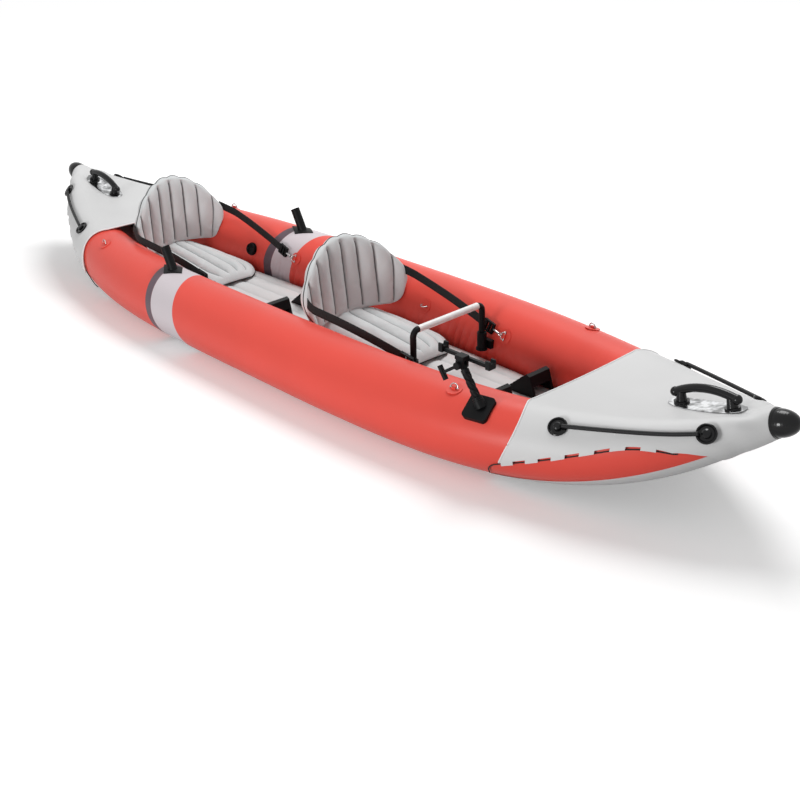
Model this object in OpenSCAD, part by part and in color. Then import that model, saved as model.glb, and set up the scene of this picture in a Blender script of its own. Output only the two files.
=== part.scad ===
// Two-seat inflatable kayak: two side tubes, ribbed floor, laced end decks,
// strapped seats and clamp-on fittings. Millimetres, bow along +X, port along +Y.

/* [Hull] */
// Overall length between the tips of the nose caps
hull_len = 3840; // [3700:10:4000]
// Overall beam across both side tubes
hull_beam = 942; // [910:2:980]
// Side tube diameter amidships
tube_d = 266; // [256:2:276]
// Side tube diameter where it runs into the nose
tip_d = 70; // [64:2:78]
// Climb of the tube centre line from amidships to the nose
tip_rise = 215; // [180:5:240]
// Thickness of the coated sheet that decks and wraps are cut from
sheet_t = 2.5; // [2:0.5:4]

/* [Floor] */
// Thickness of the ribbed floor chamber
floor_t = 86; // [70:2:92]
// Number of lengthwise floor ribs
floor_ribs = 6; // [4:1:8]
// Depth of the grooves between the floor ribs
floor_groove = 9; // [5:1:14]
// Length of the floor chamber
floor_len = 2560; // [2300:20:2600]

/* [Decks] */
// Deck length from nose tip to cockpit edge
deck_len = 730; // [690:5:760]
// Number of lacing tabs along each deck edge
tab_count = 6; // [4:1:7]
// Depth of a lacing tab
tab_deep = 13; // [9:1:16]
// Lacing cord diameter
lacing_d = 4; // [3:0.5:5]

/* [Noses and grips] */
// How far the rim of a nose cap stands proud of the deck
cap_lip = 0.6; // [0.4:0.2:4]
// Nose cap length
cap_len = 72; // [60:1:84]
// Upward tilt of the nose cap
cap_tilt = 18; // [10:1:24]
// Distance between the feet of a carry handle
handle_span = 170; // [140:2:190]
// Height of the carry handle above the deck
handle_h = 63; // [50:1:75]
// Carry handle grip diameter
handle_d = 26; // [18:1:28]
// Rope anchor diameter
anchor_d = 60; // [50:1:66]
// Grab line diameter
line_d = 13; // [8:0.5:14]

/* [Seats] */
// Hinge station of the front seat, forward of amidships
front_seat_x = 137; // [100:1:170]
// Distance of the rear seat's hinge ahead of the stern deck's edge
rear_seat_ahead = 204; // [190:1:230]
// Height of the seat hinge above the ground
seat_hinge_z = 212; // [204:1:222]
// Seat base length forward of the hinge
seat_len = 365; // [330:5:400]
// Seat base width
seat_w = 392; // [330:2:400]
// Number of channels in a seat base
seat_channels = 6; // [4:1:8]
// Backrest height at its middle
back_h = 290; // [270:2:310]
// Greatest backrest width
back_w = 490; // [450:5:500]
// Backrest thickness
back_t = 68; // [54:2:72]
// Number of upright channels in a backrest
back_channels = 7; // [5:1:9]
// Backrest lean at rest
recline = 23; // [18:1:28]
// Width of the seat webbing
strap_w = 30; // [26:1:42]
// Thickness of the seat webbing
strap_t = 2.5; // [2:0.5:4]

/* [Rings and valves] */
// Wire diameter of a tie-down ring
ring_wire = 4; // [3:0.5:5]
// Inner width of a tie-down ring
ring_w = 24; // [20:1:30]
// Diameter of a welded ring patch
patch_d = 52; // [46:1:60]
// Valve flange diameter
valve_d = 56; // [50:1:62]

/* [Rod holders and crossbar] */
// Bore of a rod holder
rod_bore_d = 31; // [28:0.5:34]
// Wall of a rod holder tube
rod_wall = 3; // [2:0.5:4]
// Rod holder station, aft of amidships
rod_x = 588; // [560:1:620]
// Aft lean of a rod holder
rod_lean = 28; // [20:1:34]
// Length of rod holder tube that stands out of the hull
rod_out = 96; // [70:1:120]
// Depth of the rod holder inside the hull
rod_in = 120; // [90:1:140]
// Crossbar station, forward of amidships
bar_x = 600; // [590:1:615]
// Height of the crossbar centre line
bar_z = 302; // [290:1:320]
// Crossbar tube diameter
bar_d = 24; // [20:1:28]
// Distance of a crossbar leg's centre from the side tube beside it
bar_side = 32; // [28:1:40]

/* [Clamp-on mount] */
// Distance of the mount pad's centre aft of the bow deck's edge
mount_back = 112; // [105:1:130]
// Width of the square mount pad
mount_pad_w = 86; // [76:1:92]
// Length of the mount post
post_len = 118; // [100:2:140]
// Aft lean of the mount post
post_lean = 34; // [24:1:40]
// Length of the cradle bar
cradle_len = 212; // [180:2:230]

/* [Footrests] */
// Width of a footrest pedal
pedal_w = 100; // [80:2:110]
// Height of a footrest pedal
pedal_h = 76; // [60:2:86]
// Length of a footrest
pedal_len = 128; // [110:2:140]

/* [Hidden] */
$fn = 48;

// Colours
red = [0.88, 0.28, 0.25];
pale_grey = [0.80, 0.80, 0.80];
seat_grey = [0.74, 0.73, 0.74];
black = [0.10, 0.10, 0.10];
steel = [0.75, 0.76, 0.78];

// Clearances
seat_gap = 0.4;
fit_gap = 0.8;
skin_gap = 1.6;
wrap_t = 1.2;
deck_gap = skin_gap + wrap_t + 2.0;
slide_gap = 0.3;
pin_gap = 0.05;

// Hull lines: powers of the plan curve, the climb and the taper
plan_power = 3.3;
rise_power = 5.9;
taper_power = 5.2;
tube_r0 = tube_d / 2;
tip_r = tip_d / 2;
tube_sides = 32;
flat_r = tube_r0 * cos(180 / tube_sides);
gauge = hull_beam / 2 - flat_r;
deck_skin = deck_gap + sheet_t;
cap_d = tip_d + 2 * (deck_skin + cap_lip);
cap_rim = 9;
cap_dome = cap_len - cap_rim;
cap_reach = cap_rim * cos(cap_tilt) + norm([cap_dome * cos(cap_tilt), cap_d / 2 * sin(cap_tilt)]);
line_half = hull_len / 2 - cap_reach;
tube_end = line_half - 30;
deck_end = line_half - seat_gap;
deck_edge = hull_len / 2 - deck_len;
rear_seat_x = deck_edge - rear_seat_ahead;
mount_x = deck_edge - mount_back;

function share(x) = min(1, abs(x) / line_half);
function tube_y(x) = gauge * (1 - pow(share(x), plan_power));
function tube_z(x) = flat_r + tip_rise * pow(share(x), rise_power);
function tube_r(x) = tube_r0 + (tip_r - tube_r0) * pow(share(x), taper_power);
function keel_z(x) = tube_z(x) - tube_r(x);
function top_z(x) = tube_z(x) + tube_r(x);
// Point on the port tube: station, angle up from outboard, distance off the skin.
// Near the nose the two tubes press flat against each other along the middle.
function on_skin(x, a, off) = [
    x,
    max(seat_gap + 3 * (1 - abs(cos(a))), tube_y(x) + (tube_r(x) + off) * cos(a)),
    tube_z(x) + (tube_r(x) + off) * sin(a)
];
// Inner face of the port tube at a height, and the free half width beside it
function inner_y(x, z) =
    tube_y(x) - sqrt(max(0, pow(tube_r(x), 2) - pow(z - tube_z(x), 2)));
function unit(v) = v / norm(v);
function tangent(x) = unit(on_skin(x + 1, 90, 0) - on_skin(x - 1, 90, 0));
function square_to(v, t) = unit(v - (v * t) * t);
function mirrored(p) = [p[0], -p[1], p[2]];
function flipped(list) = [for (i = [len(list) - 1:-1:0]) list[i]];

// Closed solid through stations, each a pair of matched chains of points
module loft(stations) {
    m = len(stations[0][0]);
    n = len(stations);
    ring = 2 * m;
    pts = [for (s = stations) each concat(s[0], s[1])];
    low = [for (i = [0:n - 2], j = [0:m - 2]) let (a = i * ring + j)
        each [[a, a + ring, a + 1], [a + 1, a + ring, a + ring + 1]]];
    high = [for (i = [0:n - 2], j = [0:m - 2]) let (a = i * ring + m + j)
        each [[a, a + 1, a + ring], [a + 1, a + ring + 1, a + ring]]];
    left = [for (i = [0:n - 2]) let (a = i * ring, b = i * ring + m)
        each [[a, b, a + ring], [b, b + ring, a + ring]]];
    right = [for (i = [0:n - 2]) let (a = i * ring + m - 1, b = i * ring + ring - 1)
        each [[a, a + ring, b], [b, a + ring, b + ring]]];
    first = [for (j = [0:m - 2]) each [[j, j + 1, m + j], [j + 1, m + j + 1, m + j]]];
    e = (n - 1) * ring;
    last = [for (j = [0:m - 2])
        each [[e + j, e + m + j, e + j + 1], [e + j + 1, e + m + j, e + m + j + 1]]];
    polyhedron(concat(pts), concat(low, high, left, right, first, last), convexity = 10);
}

// Round tube along a route of points
module cord(route, d, sides = 8) {
    n = len(route);
    dirs = [for (i = [0:n - 1]) unit(route[min(n - 1, i + 1)] - route[max(0, i - 1)])];
    pts = [for (i = [0:n - 1]) let (
            t = dirs[i],
            u = square_to(abs(t[2]) < 0.9 ? [0, 0, 1] : [1, 0, 0], t),
            v = cross(t, u)
        ) for (k = [0:sides - 1]) let (a = 360 * k / sides) route[i] + d / 2 * (u * cos(a) + v * sin(a))];
    walls = [for (i = [0:n - 2], k = [0:sides - 1]) let (
            a = i * sides + k,
            b = i * sides + (k + 1) % sides
        ) each [[a, a + sides, b], [b, a + sides, b + sides]]];
    e = (n - 1) * sides;
    ends = [for (k = [1:sides - 2]) each [[0, k, k + 1], [e, e + k + 1, e + k]]];
    polyhedron(pts, concat(walls, ends), convexity = 10);
}

// Flat webbing along points, with the width direction given
module webbing(route, across, w, t) {
    n = len(route);
    loft([for (i = [0:n - 1]) let (
            along = unit(route[min(n - 1, i + 1)] - route[max(0, i - 1)]),
            u = square_to(across, along),
            v = cross(along, u)
        ) [
            [route[i] - u * w / 2 - v * t / 2, route[i] + u * w / 2 - v * t / 2],
            [route[i] - u * w / 2 + v * t / 2, route[i] + u * w / 2 + v * t / 2]
        ]]);
}

// Local frame on the tube: X along the tube, Z out of the skin
module on_tube(x, a, off = 0) {
    t = tangent(x);
    n = square_to([0, cos(a), sin(a)], t);
    b = cross(n, t);
    p = on_skin(x, a, off);
    multmatrix([
        [t[0], b[0], n[0], p[0]],
        [t[1], b[1], n[1], p[1]],
        [t[2], b[2], n[2], p[2]]
    ]) children();
}

module side(s) {
    mirror([0, s > 0 ? 0 : 1, 0]) children();
}

module end(e) {
    mirror([e > 0 ? 0 : 1, 0, 0]) children();
}

// The round of the tube below a fitting, grown by a clearance
module tube_round(x, a, off) {
    on_tube(x, a) translate([0, 0, -tube_r(x)]) rotate([0, 90, 0])
        cylinder(r = tube_r(x) + off, h = 400, center = true);
}

// Side tubes
tube_half_steps = 16;
tube_stations = [for (i = [-tube_half_steps:tube_half_steps]) tube_end * sin(90 * i / tube_half_steps)];

module tube_body() {
    half = tube_sides / 2;
    step = 360 / tube_sides;
    loft([for (x = tube_stations) [
        [for (k = [0:half - 1]) on_skin(x, -180 + (k + 0.5) * step, 0)],
        [for (k = [0:half - 1]) on_skin(x, 180 - (k + 0.5) * step, 0)]
    ]]);
}

module side_tube(s) {
    color(red) side(s) difference() {
        tube_body();
        rod_place() translate([0, 0, -rod_in - rod_wall - seat_gap])
            cylinder(r = rod_r + seat_gap, h = rod_in + rod_out);
        valve_place() translate([0, 0, -valve_depth - plunger_room])
            cylinder(r = valve_barrel_r + seat_gap, h = valve_depth + plunger_room + 40);
    }
}

// Floor chamber and bottom sheet
floor_lift = 5;
floor_top = floor_lift + floor_t;
floor_clear = 2.0;
rib_steps = 3;
floor_steps = 8;
floor_stations = [for (i = [-floor_steps:floor_steps]) floor_len / 2 * i / floor_steps];
flat_share = 0.74;
edge_drop = 12;

function groove(u, n, deep) = deep * (1 - sqrt(abs(sin(180 * n * u))));
function floor_side(x, z) = inner_y(x, z) - floor_clear;
// Underside: flat in the middle, then up the round of the tubes
function floor_angle(x, z) = -180 - asin(max(-1, min(1, (z - tube_z(x)) / (tube_r(x) + floor_clear))));
function floor_under(x, base, u) = let (
        k = max(0, abs(u) - flat_share) / (1 - flat_share),
        low = floor_angle(x, base),
        high = floor_angle(x, base + floor_t - 2 * edge_drop),
        p = on_skin(x, low + (high - low) * k, floor_clear)
    ) [x, sign(u) * min(1, abs(u) / flat_share) * p[1], p[2]];
function floor_section(x) = let (
        base = keel_z(x) + floor_lift,
        n = floor_ribs * rib_steps,
        w = floor_side(x, base + floor_t - edge_drop)
    ) [
        [for (i = [0:n]) floor_under(x, base, 2 * i / n - 1)],
        [for (i = [0:n]) [x, w * (2 * i / n - 1), base + floor_t - groove(i / n, floor_ribs, floor_groove)
            - edge_drop * pow(abs(2 * i / n - 1), 6)]]
    ];

// Height of the rib crests at a station, along the straight runs between floor stations
floor_pitch = floor_len / 2 / floor_steps;
rib_crest = groove(1 / (floor_ribs * rib_steps), floor_ribs, floor_groove);
function floor_z(x) = let (i = floor(x / floor_pitch), f = x / floor_pitch - i)
    keel_z(i * floor_pitch) * (1 - f) + keel_z((i + 1) * floor_pitch) * f + floor_top - rib_crest;

module floor_chamber() {
    color(pale_grey) loft([for (x = floor_stations) floor_section(x)]);
}

bottom_end = 1080;
bottom_lift = 1;
bottom_stations = [for (i = [-6:6]) bottom_end * i / 6];
function bottom_half(x, z) = inner_y(x, z) - skin_gap;

module hull_bottom() {
    color(pale_grey) loft([for (x = bottom_stations) let (
            low = keel_z(x) + bottom_lift,
            high = low + sheet_t,
            w = bottom_half(x, high)
        ) [
            [[x, -w, low], [x, 0, low], [x, w, low]],
            [[x, -w, high], [x, 0, high], [x, w, high]]
        ]]);
}

// Keel wraps: the bottom sheet carried up round the ends
wrap_start = bottom_end + 20;
lens_end = deck_edge + 540;
lens_close = 28;
wrap_end = lens_end + lens_close + 12;
wrap_stations = [for (i = [0:10]) wrap_start + (wrap_end - wrap_start) * sin(9 * i)];
wrap_steps = 5;
function wrap_angle(x) = min(-26, -26 - (lens_end - x) * 0.052);
function wrap_side(x, off) = [for (i = [0:wrap_steps])
    on_skin(x, wrap_angle(x) + (-90 - wrap_angle(x)) * i / wrap_steps, off)];
function wrap_chain(x, off) = let (p = wrap_side(x, off))
    concat(p, [for (q = flipped(p)) mirrored(q)]);

module keel_wrap(e) {
    color(pale_grey) end(e)
        loft([for (x = wrap_stations) [wrap_chain(x, skin_gap), wrap_chain(x, skin_gap + wrap_t)]]);
}

// Decks
deck_dip = 5;
hem_lift = lacing_d - 0.4;
arc_steps = 9;
top_steps = 4;
tab_start = deck_edge + 6;
tab_end = deck_edge + 464;
tab_pitch = (tab_end - tab_start) / tab_count;
hem_slope = 0.37;
hem_low = 107;
// Ahead of this distance the hem levels off
hem_level_from = 300;
hem_level = 0.0015;
// The hem runs down to the end of the lens, then closes under the keel
lens_low = -24;
lens_power = 1.6;
keel_angle = -88;

// Height and angle of the deck's lower edge along the lens of bare tube
function hem_z(x) = hem_low + tab_deep + hem_slope * (x - deck_edge)
    - hem_level * pow(max(0, x - deck_edge - hem_level_from), 2);
function hem_free(x) = asin(max(-0.9, min(0.9, (hem_z(x) - tube_z(x)) / tube_r(x))));
function hem_at(x) =
    x <= tab_end ? hem_free(x) :
    x <= lens_end ? hem_free(tab_end) + (lens_low - hem_free(tab_end)) * pow(1 - hem_fade(x), lens_power) :
    max(keel_angle, lens_low + (keel_angle - lens_low) * (x - lens_end) / lens_close);
// The hem stands off the tube by the lacing and settles again ahead of the last tab
function hem_fade(x) = max(0, min(1, (lens_end - x) / (lens_end - tab_end)));
function deck_off(x, i, off) = off + hem_lift * hem_fade(x) * max(0, 1 - i / 3);
function deck_arc(x, off) = [for (i = [0:arc_steps])
    on_skin(x, hem_at(x) + (90 - hem_at(x)) * i / arc_steps, deck_off(x, i, off))];
function deck_top(x, off) = [for (i = [1:top_steps])
    let (f = 1 - i / top_steps) [x, tube_y(x) * f, top_z(x) + off - deck_dip * (1 - f * f) * dip_fade(x)]];
function dip_fade(x) = max(0, min(1, (deck_end - x) / 120));
// The end of the deck is cut square to the tilted nose cap
function nosed(p, x) = let (w = max(0, 1 - (deck_end - x) / 70))
    [p[0] - w * tan(cap_tilt) * (p[2] - tube_z(x)), p[1], p[2]];
function deck_chain(x, off) = let (p = [for (q = concat(deck_arc(x, off), deck_top(x, off))) nosed(q, x)])
    concat(p, [for (i = [len(p) - 2:-1:0]) mirrored(p[i])]);
hem_rows = 6;
hem_step = (tab_end - deck_edge) / hem_rows;
deck_stations = concat(
    [for (i = [0:hem_rows]) deck_edge + hem_step * i],
    [for (i = [1:3]) tab_end + (lens_end - tab_end) * i / 3],
    [for (i = [1:4]) lens_end + lens_close * i / 4],
    [for (i = [1:3]) lens_end + lens_close + (deck_end - lens_end - lens_close) * i / 3]
);

module deck(e) {
    color(pale_grey) end(e) loft([for (x = deck_stations)
        [deck_chain(x, deck_gap + sheet_t), deck_chain(x, deck_gap)]]);
}

// Angle of the deck's straight edge between the stations either side of x
function hem_between(x) = let (
        a = deck_edge + hem_step * floor((x - deck_edge) / hem_step),
        f = (x - a) / hem_step
    ) hem_at(a) * (1 - f) + hem_at(a + hem_step) * f;

// One lacing tab hangs from the deck's edge between two stations
module tab(x0, x1) {
    out0 = deck_gap + hem_lift;
    out1 = out0 + sheet_t;
    drop = seat_gap / tube_r0 * 57.3;
    deep = tab_deep / tube_r0 * 57.3;
    loft([for (x = [x0, (x0 + x1) / 2, x1]) let (a = hem_between(x)) [
        [on_skin(x, a - deep, out1), on_skin(x, a - drop, out1)],
        [on_skin(x, a - deep, out0), on_skin(x, a - drop, out0)]
    ]]);
}

module deck_tabs() {
    color(pale_grey)
        for (e = [1, -1], s = [1, -1], i = [0:tab_count - 1])
            end(e) side(s) tab(tab_start + i * tab_pitch, tab_start + (i + 0.5) * tab_pitch);
}

// Nose caps: a rim round the end of the deck and a rounded dome, as one turned profile
cap_steps = 12;
cap_profile = concat(
    [[0, 0], [cap_d / 2 - 1, 0], [cap_d / 2, 1], [cap_d / 2, cap_rim - 2], [cap_d / 2 - 2, cap_rim]],
    [for (i = [1:cap_steps - 1]) let (a = 90 * i / cap_steps)
        [(cap_d / 2 - 2) * cos(a), cap_rim + cap_dome * sin(a)]],
    [[0, cap_rim + cap_dome]]
);

module nose_cap(e) {
    color(black) end(e) translate([line_half, 0, tube_z(line_half)]) rotate([0, 90 - cap_tilt, 0])
        rotate_extrude() polygon(cap_profile);
}

// Carry handles stand on glossy oval patches welded along the deck ridge
handle_x = hull_len / 2 - 290;
patch_t = 2;
patch_off = 1.0;
handle_patch_len = 250;
handle_patch_w = 84;
foot_d = 34;
grip_rise = 14;
grip_over = 18;
grip_swell = 4;
foot_gap = 0.7;

// Height of the deck's top face between the tubes
function deck_z(x, y) = top_z(x) + deck_gap + sheet_t
    - deck_dip * dip_fade(x) * max(0, 1 - pow(y / max(1, tube_y(x)), 2));
function patch_half(d) = handle_patch_w / 2 * sqrt(max(0.04, 1 - pow(2 * abs(d) / handle_patch_len, 4)));
function patch_row(d, off) = [for (k = [-2:2]) let (y = patch_half(d) * k / 2)
    [handle_x + d, y, deck_z(handle_x + d, y) + patch_off + off]];

function ridge_slope(x, half) = atan((deck_z(x + half, 0) - deck_z(x - half, 0)) / (2 * half));
function foot_tilt(k) = ridge_slope(handle_x + k * handle_span / 2, foot_d / 2)
    - ridge_slope(handle_x, handle_span / 2);

module on_ridge(x, half) {
    translate([x, 0, (deck_z(x + half, 0) + deck_z(x - half, 0)) / 2])
        rotate([0, -ridge_slope(x, half), 0]) children();
}

module handle_patches() {
    color([0.86, 0.88, 0.90]) for (e = [1, -1]) end(e)
        loft([for (i = [-4:4]) let (d = handle_patch_len / 2 * sin(22.5 * i))
            [patch_row(d, 0), patch_row(d, patch_t)]]);
}

module handle(e) {
    half = handle_span / 2;
    arch_r = (half * half + grip_rise * grip_rise) / (2 * grip_rise);
    reach = asin((half + grip_over) / arch_r);
    grip_z = handle_h - handle_d / 2;
    color(black) end(e) on_ridge(handle_x, half) translate([0, 0, patch_off + patch_t + foot_gap]) {
        for (k = [-1, 1]) translate([k * half, 0, 0]) rotate([0, -foot_tilt(k), 0]) {
            cylinder(d = foot_d + 12, h = 5);
            cylinder(d1 = foot_d, d2 = handle_d - 2, h = grip_z - grip_rise);
        }
        translate([0, 0, grip_z - arch_r]) rotate([90, 0, 0]) rotate([0, 0, 90 - reach])
            rotate_extrude(angle = 2 * reach, $fn = 96) translate([arch_r, 0]) circle(d = handle_d);
        for (k = [-1, 1]) translate([k * arch_r * sin(reach), 0, grip_z - arch_r + arch_r * cos(reach)])
            sphere(d = handle_d + grip_swell);
    }
}

// Rope anchors: rimmed discs with a boss, notched where the grab line comes in
aft_anchor = [hull_len / 2 - 582, 50];
fore_anchor = [hull_len / 2 - 199, 34];
anchor_base = 3;
anchor_rim = 7;
boss_rise = 14;
boss_side_r = 13;
notch_w = line_d + 5;
anchor_seat = deck_skin + 1.0;
fore_seat = deck_skin + 2.2;

module anchor(place, seat, way) {
    r = anchor_d / 2;
    on_tube(place[0], place[1], seat) difference() {
        rotate_extrude() polygon([
            [0, 0], [r - 3, 0], [r, 1.5], [r, anchor_rim - 1.5], [r - 2, anchor_rim], [r - 5, anchor_rim],
            [r - 8, anchor_base], [boss_side_r, anchor_base], [boss_side_r, boss_rise - 4],
            [boss_side_r - 5, boss_rise], [0, boss_rise]
        ]);
        rotate([0, 0, way]) translate([boss_side_r + 1, -notch_w / 2, anchor_base])
            cube([r, notch_w, boss_rise]);
    }
}

module rope_anchors() {
    color(black) for (e = [1, -1], s = [1, -1]) end(e) side(s) {
        anchor(aft_anchor, anchor_seat, aft_turn);
        anchor(fore_anchor, fore_seat, 180 + fore_turn);
    }
}

// Grab lines leave the boss of one anchor and run along the deck to the other
line_lift = anchor_base + 1.2 + line_d / 2;
aft_turn = -1.5;
fore_turn = 7.5;
line_inset = boss_side_r + 1.6;
line_span = fore_anchor[0] - aft_anchor[0];
line_steps = 13;
// The line is drawn taut, so it lies higher on the deck's round than the anchors' own angles
line_rise = 6;
function line_bow(f) = line_rise * sin(180 * f);
function line_route() = [for (i = [0:line_steps]) let (
        f = (line_inset + (line_span - 2 * line_inset) * i / line_steps) / line_span
    ) on_skin(
        aft_anchor[0] + line_span * f,
        aft_anchor[1] + (fore_anchor[1] - aft_anchor[1]) * f + line_bow(f),
        anchor_seat + (fore_seat - anchor_seat) * f + line_lift)];

module grab_line(e, s) {
    color(black) end(e) side(s) cord(line_route(), line_d);
}

// Lacing: threaded behind the tabs, with a short tail at the cockpit corner
lacing_lift = seat_gap + 0.3 + lacing_d / 2;
lacing_drop = 4.2;
lacing_run = [for (i = [0:14]) tab_start + 4 + (tab_end + 6 - tab_start) * i / 14];
// Tail points: aft of the tab start, angle below the hem, distance off the skin
tail_points = [[62, 22, 5], [60, 18, 5], [56, 12, 5], [48, 7.5, 4], [36, 5, 3], [22, 4.4, 3], [8, 4.2, 2.7]];
function lacing_route() = concat(
    [for (p = tail_points) on_skin(tab_start - p[0], hem_free(tab_start - p[0]) - p[1], p[2])],
    [for (x = lacing_run) on_skin(x, hem_at(x) - lacing_drop, lacing_lift)]
);

module lacing(e, s) {
    color(black) end(e) side(s) cord(lacing_route(), lacing_d);
}

// Seats
base_tail = 58;
shelf_drop = 46;
front_drop = 72;
nose_drop = 28;
welt_r = 4;
welt_inset = 78;
welt_drop = sqrt(pow(welt_r + slide_gap, 2) - pow(welt_r - 1, 2));
seat_side_gap = 10;
seat_steps = [-base_tail, -24, -welt_r - 3, welt_r - 1, 60, 130, 200, 265, 315, 345, seat_len - 6, seat_len];
seat_x = [front_seat_x, -rear_seat_x];
seat_corner = 120;
seat_crown = 15;
seat_groove = 11;

function seat_top(d) =
    d < 0 ? seat_hinge_z - shelf_drop :
    d > seat_len - 30 ? seat_hinge_z - front_drop - nose_drop * pow((d - seat_len + 30) / 30, 2) :
    seat_hinge_z - welt_drop - (front_drop - welt_drop) * pow(d / (seat_len - 30), 1.2);
function seat_half(xh, d) = let (
        room = inner_y(xh + d, tube_z(xh + d)) - seat_side_gap,
        nose = max(0, (d - seat_len + seat_corner) / seat_corner)
    ) min(seat_w / 2, room) * (1 - 0.42 * pow(nose, 2.4));
function seat_section(xh, d) = let (
        n = seat_channels * 4,
        w = seat_half(xh, d),
        base = floor_z(xh + d) + seat_gap,
        top = seat_top(d)
    ) [
        [for (i = [0:n]) let (u = 2 * i / n - 1) [xh + d, (w - 8) * u, base + 10 * pow(abs(u), 10)]],
        [for (i = [0:n]) let (u = 2 * i / n - 1) [
            xh + d, w * u,
            max(base + 14, top - groove(i / n, seat_channels, seat_groove) - seat_crown * pow(abs(u), 5))
        ]]
    ];

module seat_base(xh) {
    color(seat_grey) loft([for (d = seat_steps) seat_section(xh, d)]);
}

// Backrest: upright channels, rounded shoulders that fall away, wings drawn forward
back_foot = 200;
back_spread = 90;
back_wing = 62;
back_arch = 6;
back_droop = 26;
back_shoulder = 0.70;
shoulder_power = 2.7;
wing_power = 4.5;
back_rows = 8;
back_edge_t = 14;
back_set = 14;
wing_round = 0.8;
back_groove = 8;
back_lift = welt_r + seat_gap;
back_tuck = 16;

// Half width: the foot fits between the tubes, the wings spread above them
function back_room(xh) = min(back_foot, inner_y(xh + back_wing / 2, seat_hinge_z) - 8);
function back_half(xh, up) =
    back_room(xh) + (back_w / 2 - back_room(xh)) * pow(max(0, min(1, up / back_spread)), 1.2);
function back_top(v) = back_h * (1 - back_shoulder * pow(abs(v), shoulder_power));
function wing_end(v) = sqrt(1 - 0.86 * pow(max(0, abs(v) - wing_round) / (1 - wing_round), 2));
function back_thick(s, v, u) = max(back_edge_t,
    back_t * sqrt(max(0, 1 - pow(abs(2 * s - 1), 6))) * sqrt(max(0, 1 - pow(abs(v), 6)))
    - 2 * groove(u, back_channels, back_groove) * (s > 0.02 && s < 0.98 ? 1 : 0));
// Backrest point in the seat frame: share of height, share of half width, distance forward
function back_point(xh, s, v, f) = let (
        low = back_lift + back_arch * v * v - back_droop * pow(abs(v), 5),
        mid = (low + back_top(v)) / 2,
        up = mid + (s - 0.5) * (back_top(v) - low) * wing_end(v),
        y = v * back_half(xh, up),
        tuck = back_tuck * pow(1 - s, 8) * (1 - v * v),
        fwd = f + back_set - back_t / 2 + tuck + back_wing * pow(abs(v), wing_power)
    ) [
        xh + fwd * cos(recline) - up * sin(recline), y,
        seat_hinge_z + up * cos(recline) + fwd * sin(recline)
    ];
function back_section(xh, v, u) = [
    [for (i = [0:back_rows]) let (s = i / back_rows) back_point(xh, s, v, -back_thick(s, v, u) / 2)],
    [for (i = [0:back_rows]) let (s = i / back_rows) back_point(xh, s, v, back_thick(s, v, u) / 2)]
];

module backrest(xh) {
    n = back_channels * 4;
    color(seat_grey) loft([for (i = [0:n]) let (u = i / n) back_section(xh, 2 * u - 1, u)]);
}

module seat_welts() {
    color(black) for (xh = seat_x)
        translate([xh, 0, seat_hinge_z]) rotate([90, 0, 0])
            cylinder(r = welt_r, h = seat_w - 2 * welt_inset, center = true);
}

// Strap fittings sit on the line from each strap ring back to the seat
strap_ring_ahead = [540, 492];
strap_ring_x = seat_x + strap_ring_ahead;
strap_ring_angle = 155;
ring_r = ring_w / 2 + ring_wire / 2;
ring_reach = ring_r + ring_wire / 2;
ring_axis_h = 3.6 + ring_wire / 2;
strap_ring_tilt = 50;
hook_len = 46;
hook_r = 7.5;
hook_wire = 4;
hook_block_d = 9;
hook_eye = hook_len - hook_r - hook_wire / 2;
buckle_len = 52;
strap_up = 0.86;
strap_in = 0.9;

strap_across = [0, 0.25, 1];
strap_bow = 10;
// Far side of the strap ring's wire, where the hook pulls
function ring_wire_at(k) =
    on_skin(strap_ring_x[k], strap_ring_angle, fit_gap + ring_axis_h + ring_r * cos(strap_ring_tilt))
    - tangent(strap_ring_x[k]) * ring_r * sin(strap_ring_tilt);
hook_bite = hook_r - hook_wire / 2 - ring_wire / 2 - seat_gap;
function strap_end(k) = ring_wire_at(k) + strap_dir(k) * (hook_bite + hook_eye);
// The webbing is sewn behind the shoulder, passes outside the wing and drops to the buckle
function strap_head(k) = back_point(seat_x[k], strap_up, strap_in, -back_t * 0.42);
function strap_wing(k) = let (p = back_point(seat_x[k], 1, 1, 0)) [p[0] + 6, back_w / 2 + 7, p[2] + 6];
function strap_run(k, f) = let (a = strap_wing(k), b = ring_wire_at(k), p = a + (b - a) * f)
    [p[0], min(p[1], inner_y(p[0], p[2] - strap_w / 2) - 3), p[2] + strap_bow * sin(180 * f)];
function strap_dir(k) = unit(strap_run(k, 0.7) - ring_wire_at(k));

module strap(k, s) {
    a = strap_end(k) + strap_dir(k) * (buckle_len - 8);
    route = concat([a], [for (f = [0.7, 0.5, 0.3, 0.12]) strap_run(k, f)], [strap_wing(k), strap_head(k)]);
    color(black) side(s) webbing(route, strap_across, strap_w, strap_t);
}

// Local frame on a strap: X along it towards the seat, Z out of its face
module on_strap(k) {
    t = strap_dir(k);
    u = square_to(strap_across, t);
    w = cross(t, u);
    p = strap_end(k);
    multmatrix([
        [t[0], u[0], w[0], p[0]],
        [t[1], u[1], w[1], p[1]],
        [t[2], u[2], w[2], p[2]]
    ]) children();
}

module buckle() {
    difference() {
        translate([0, -strap_w / 2 - 5, -5]) cube([buckle_len, strap_w + 10, 10]);
        translate([8, -strap_w / 2, -6]) cube([10, strap_w, 12]);
        translate([26, -strap_w / 2, -6]) cube([10, strap_w, 12]);
        translate([42, -strap_w / 2 - 6, -strap_t / 2 - 0.6]) cube([12, strap_w + 12, strap_t + 1.2]);
    }
}

module strap_buckles() {
    color(black) for (k = [0, 1], s = [1, -1]) side(s) on_strap(k) buckle();
}

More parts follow.
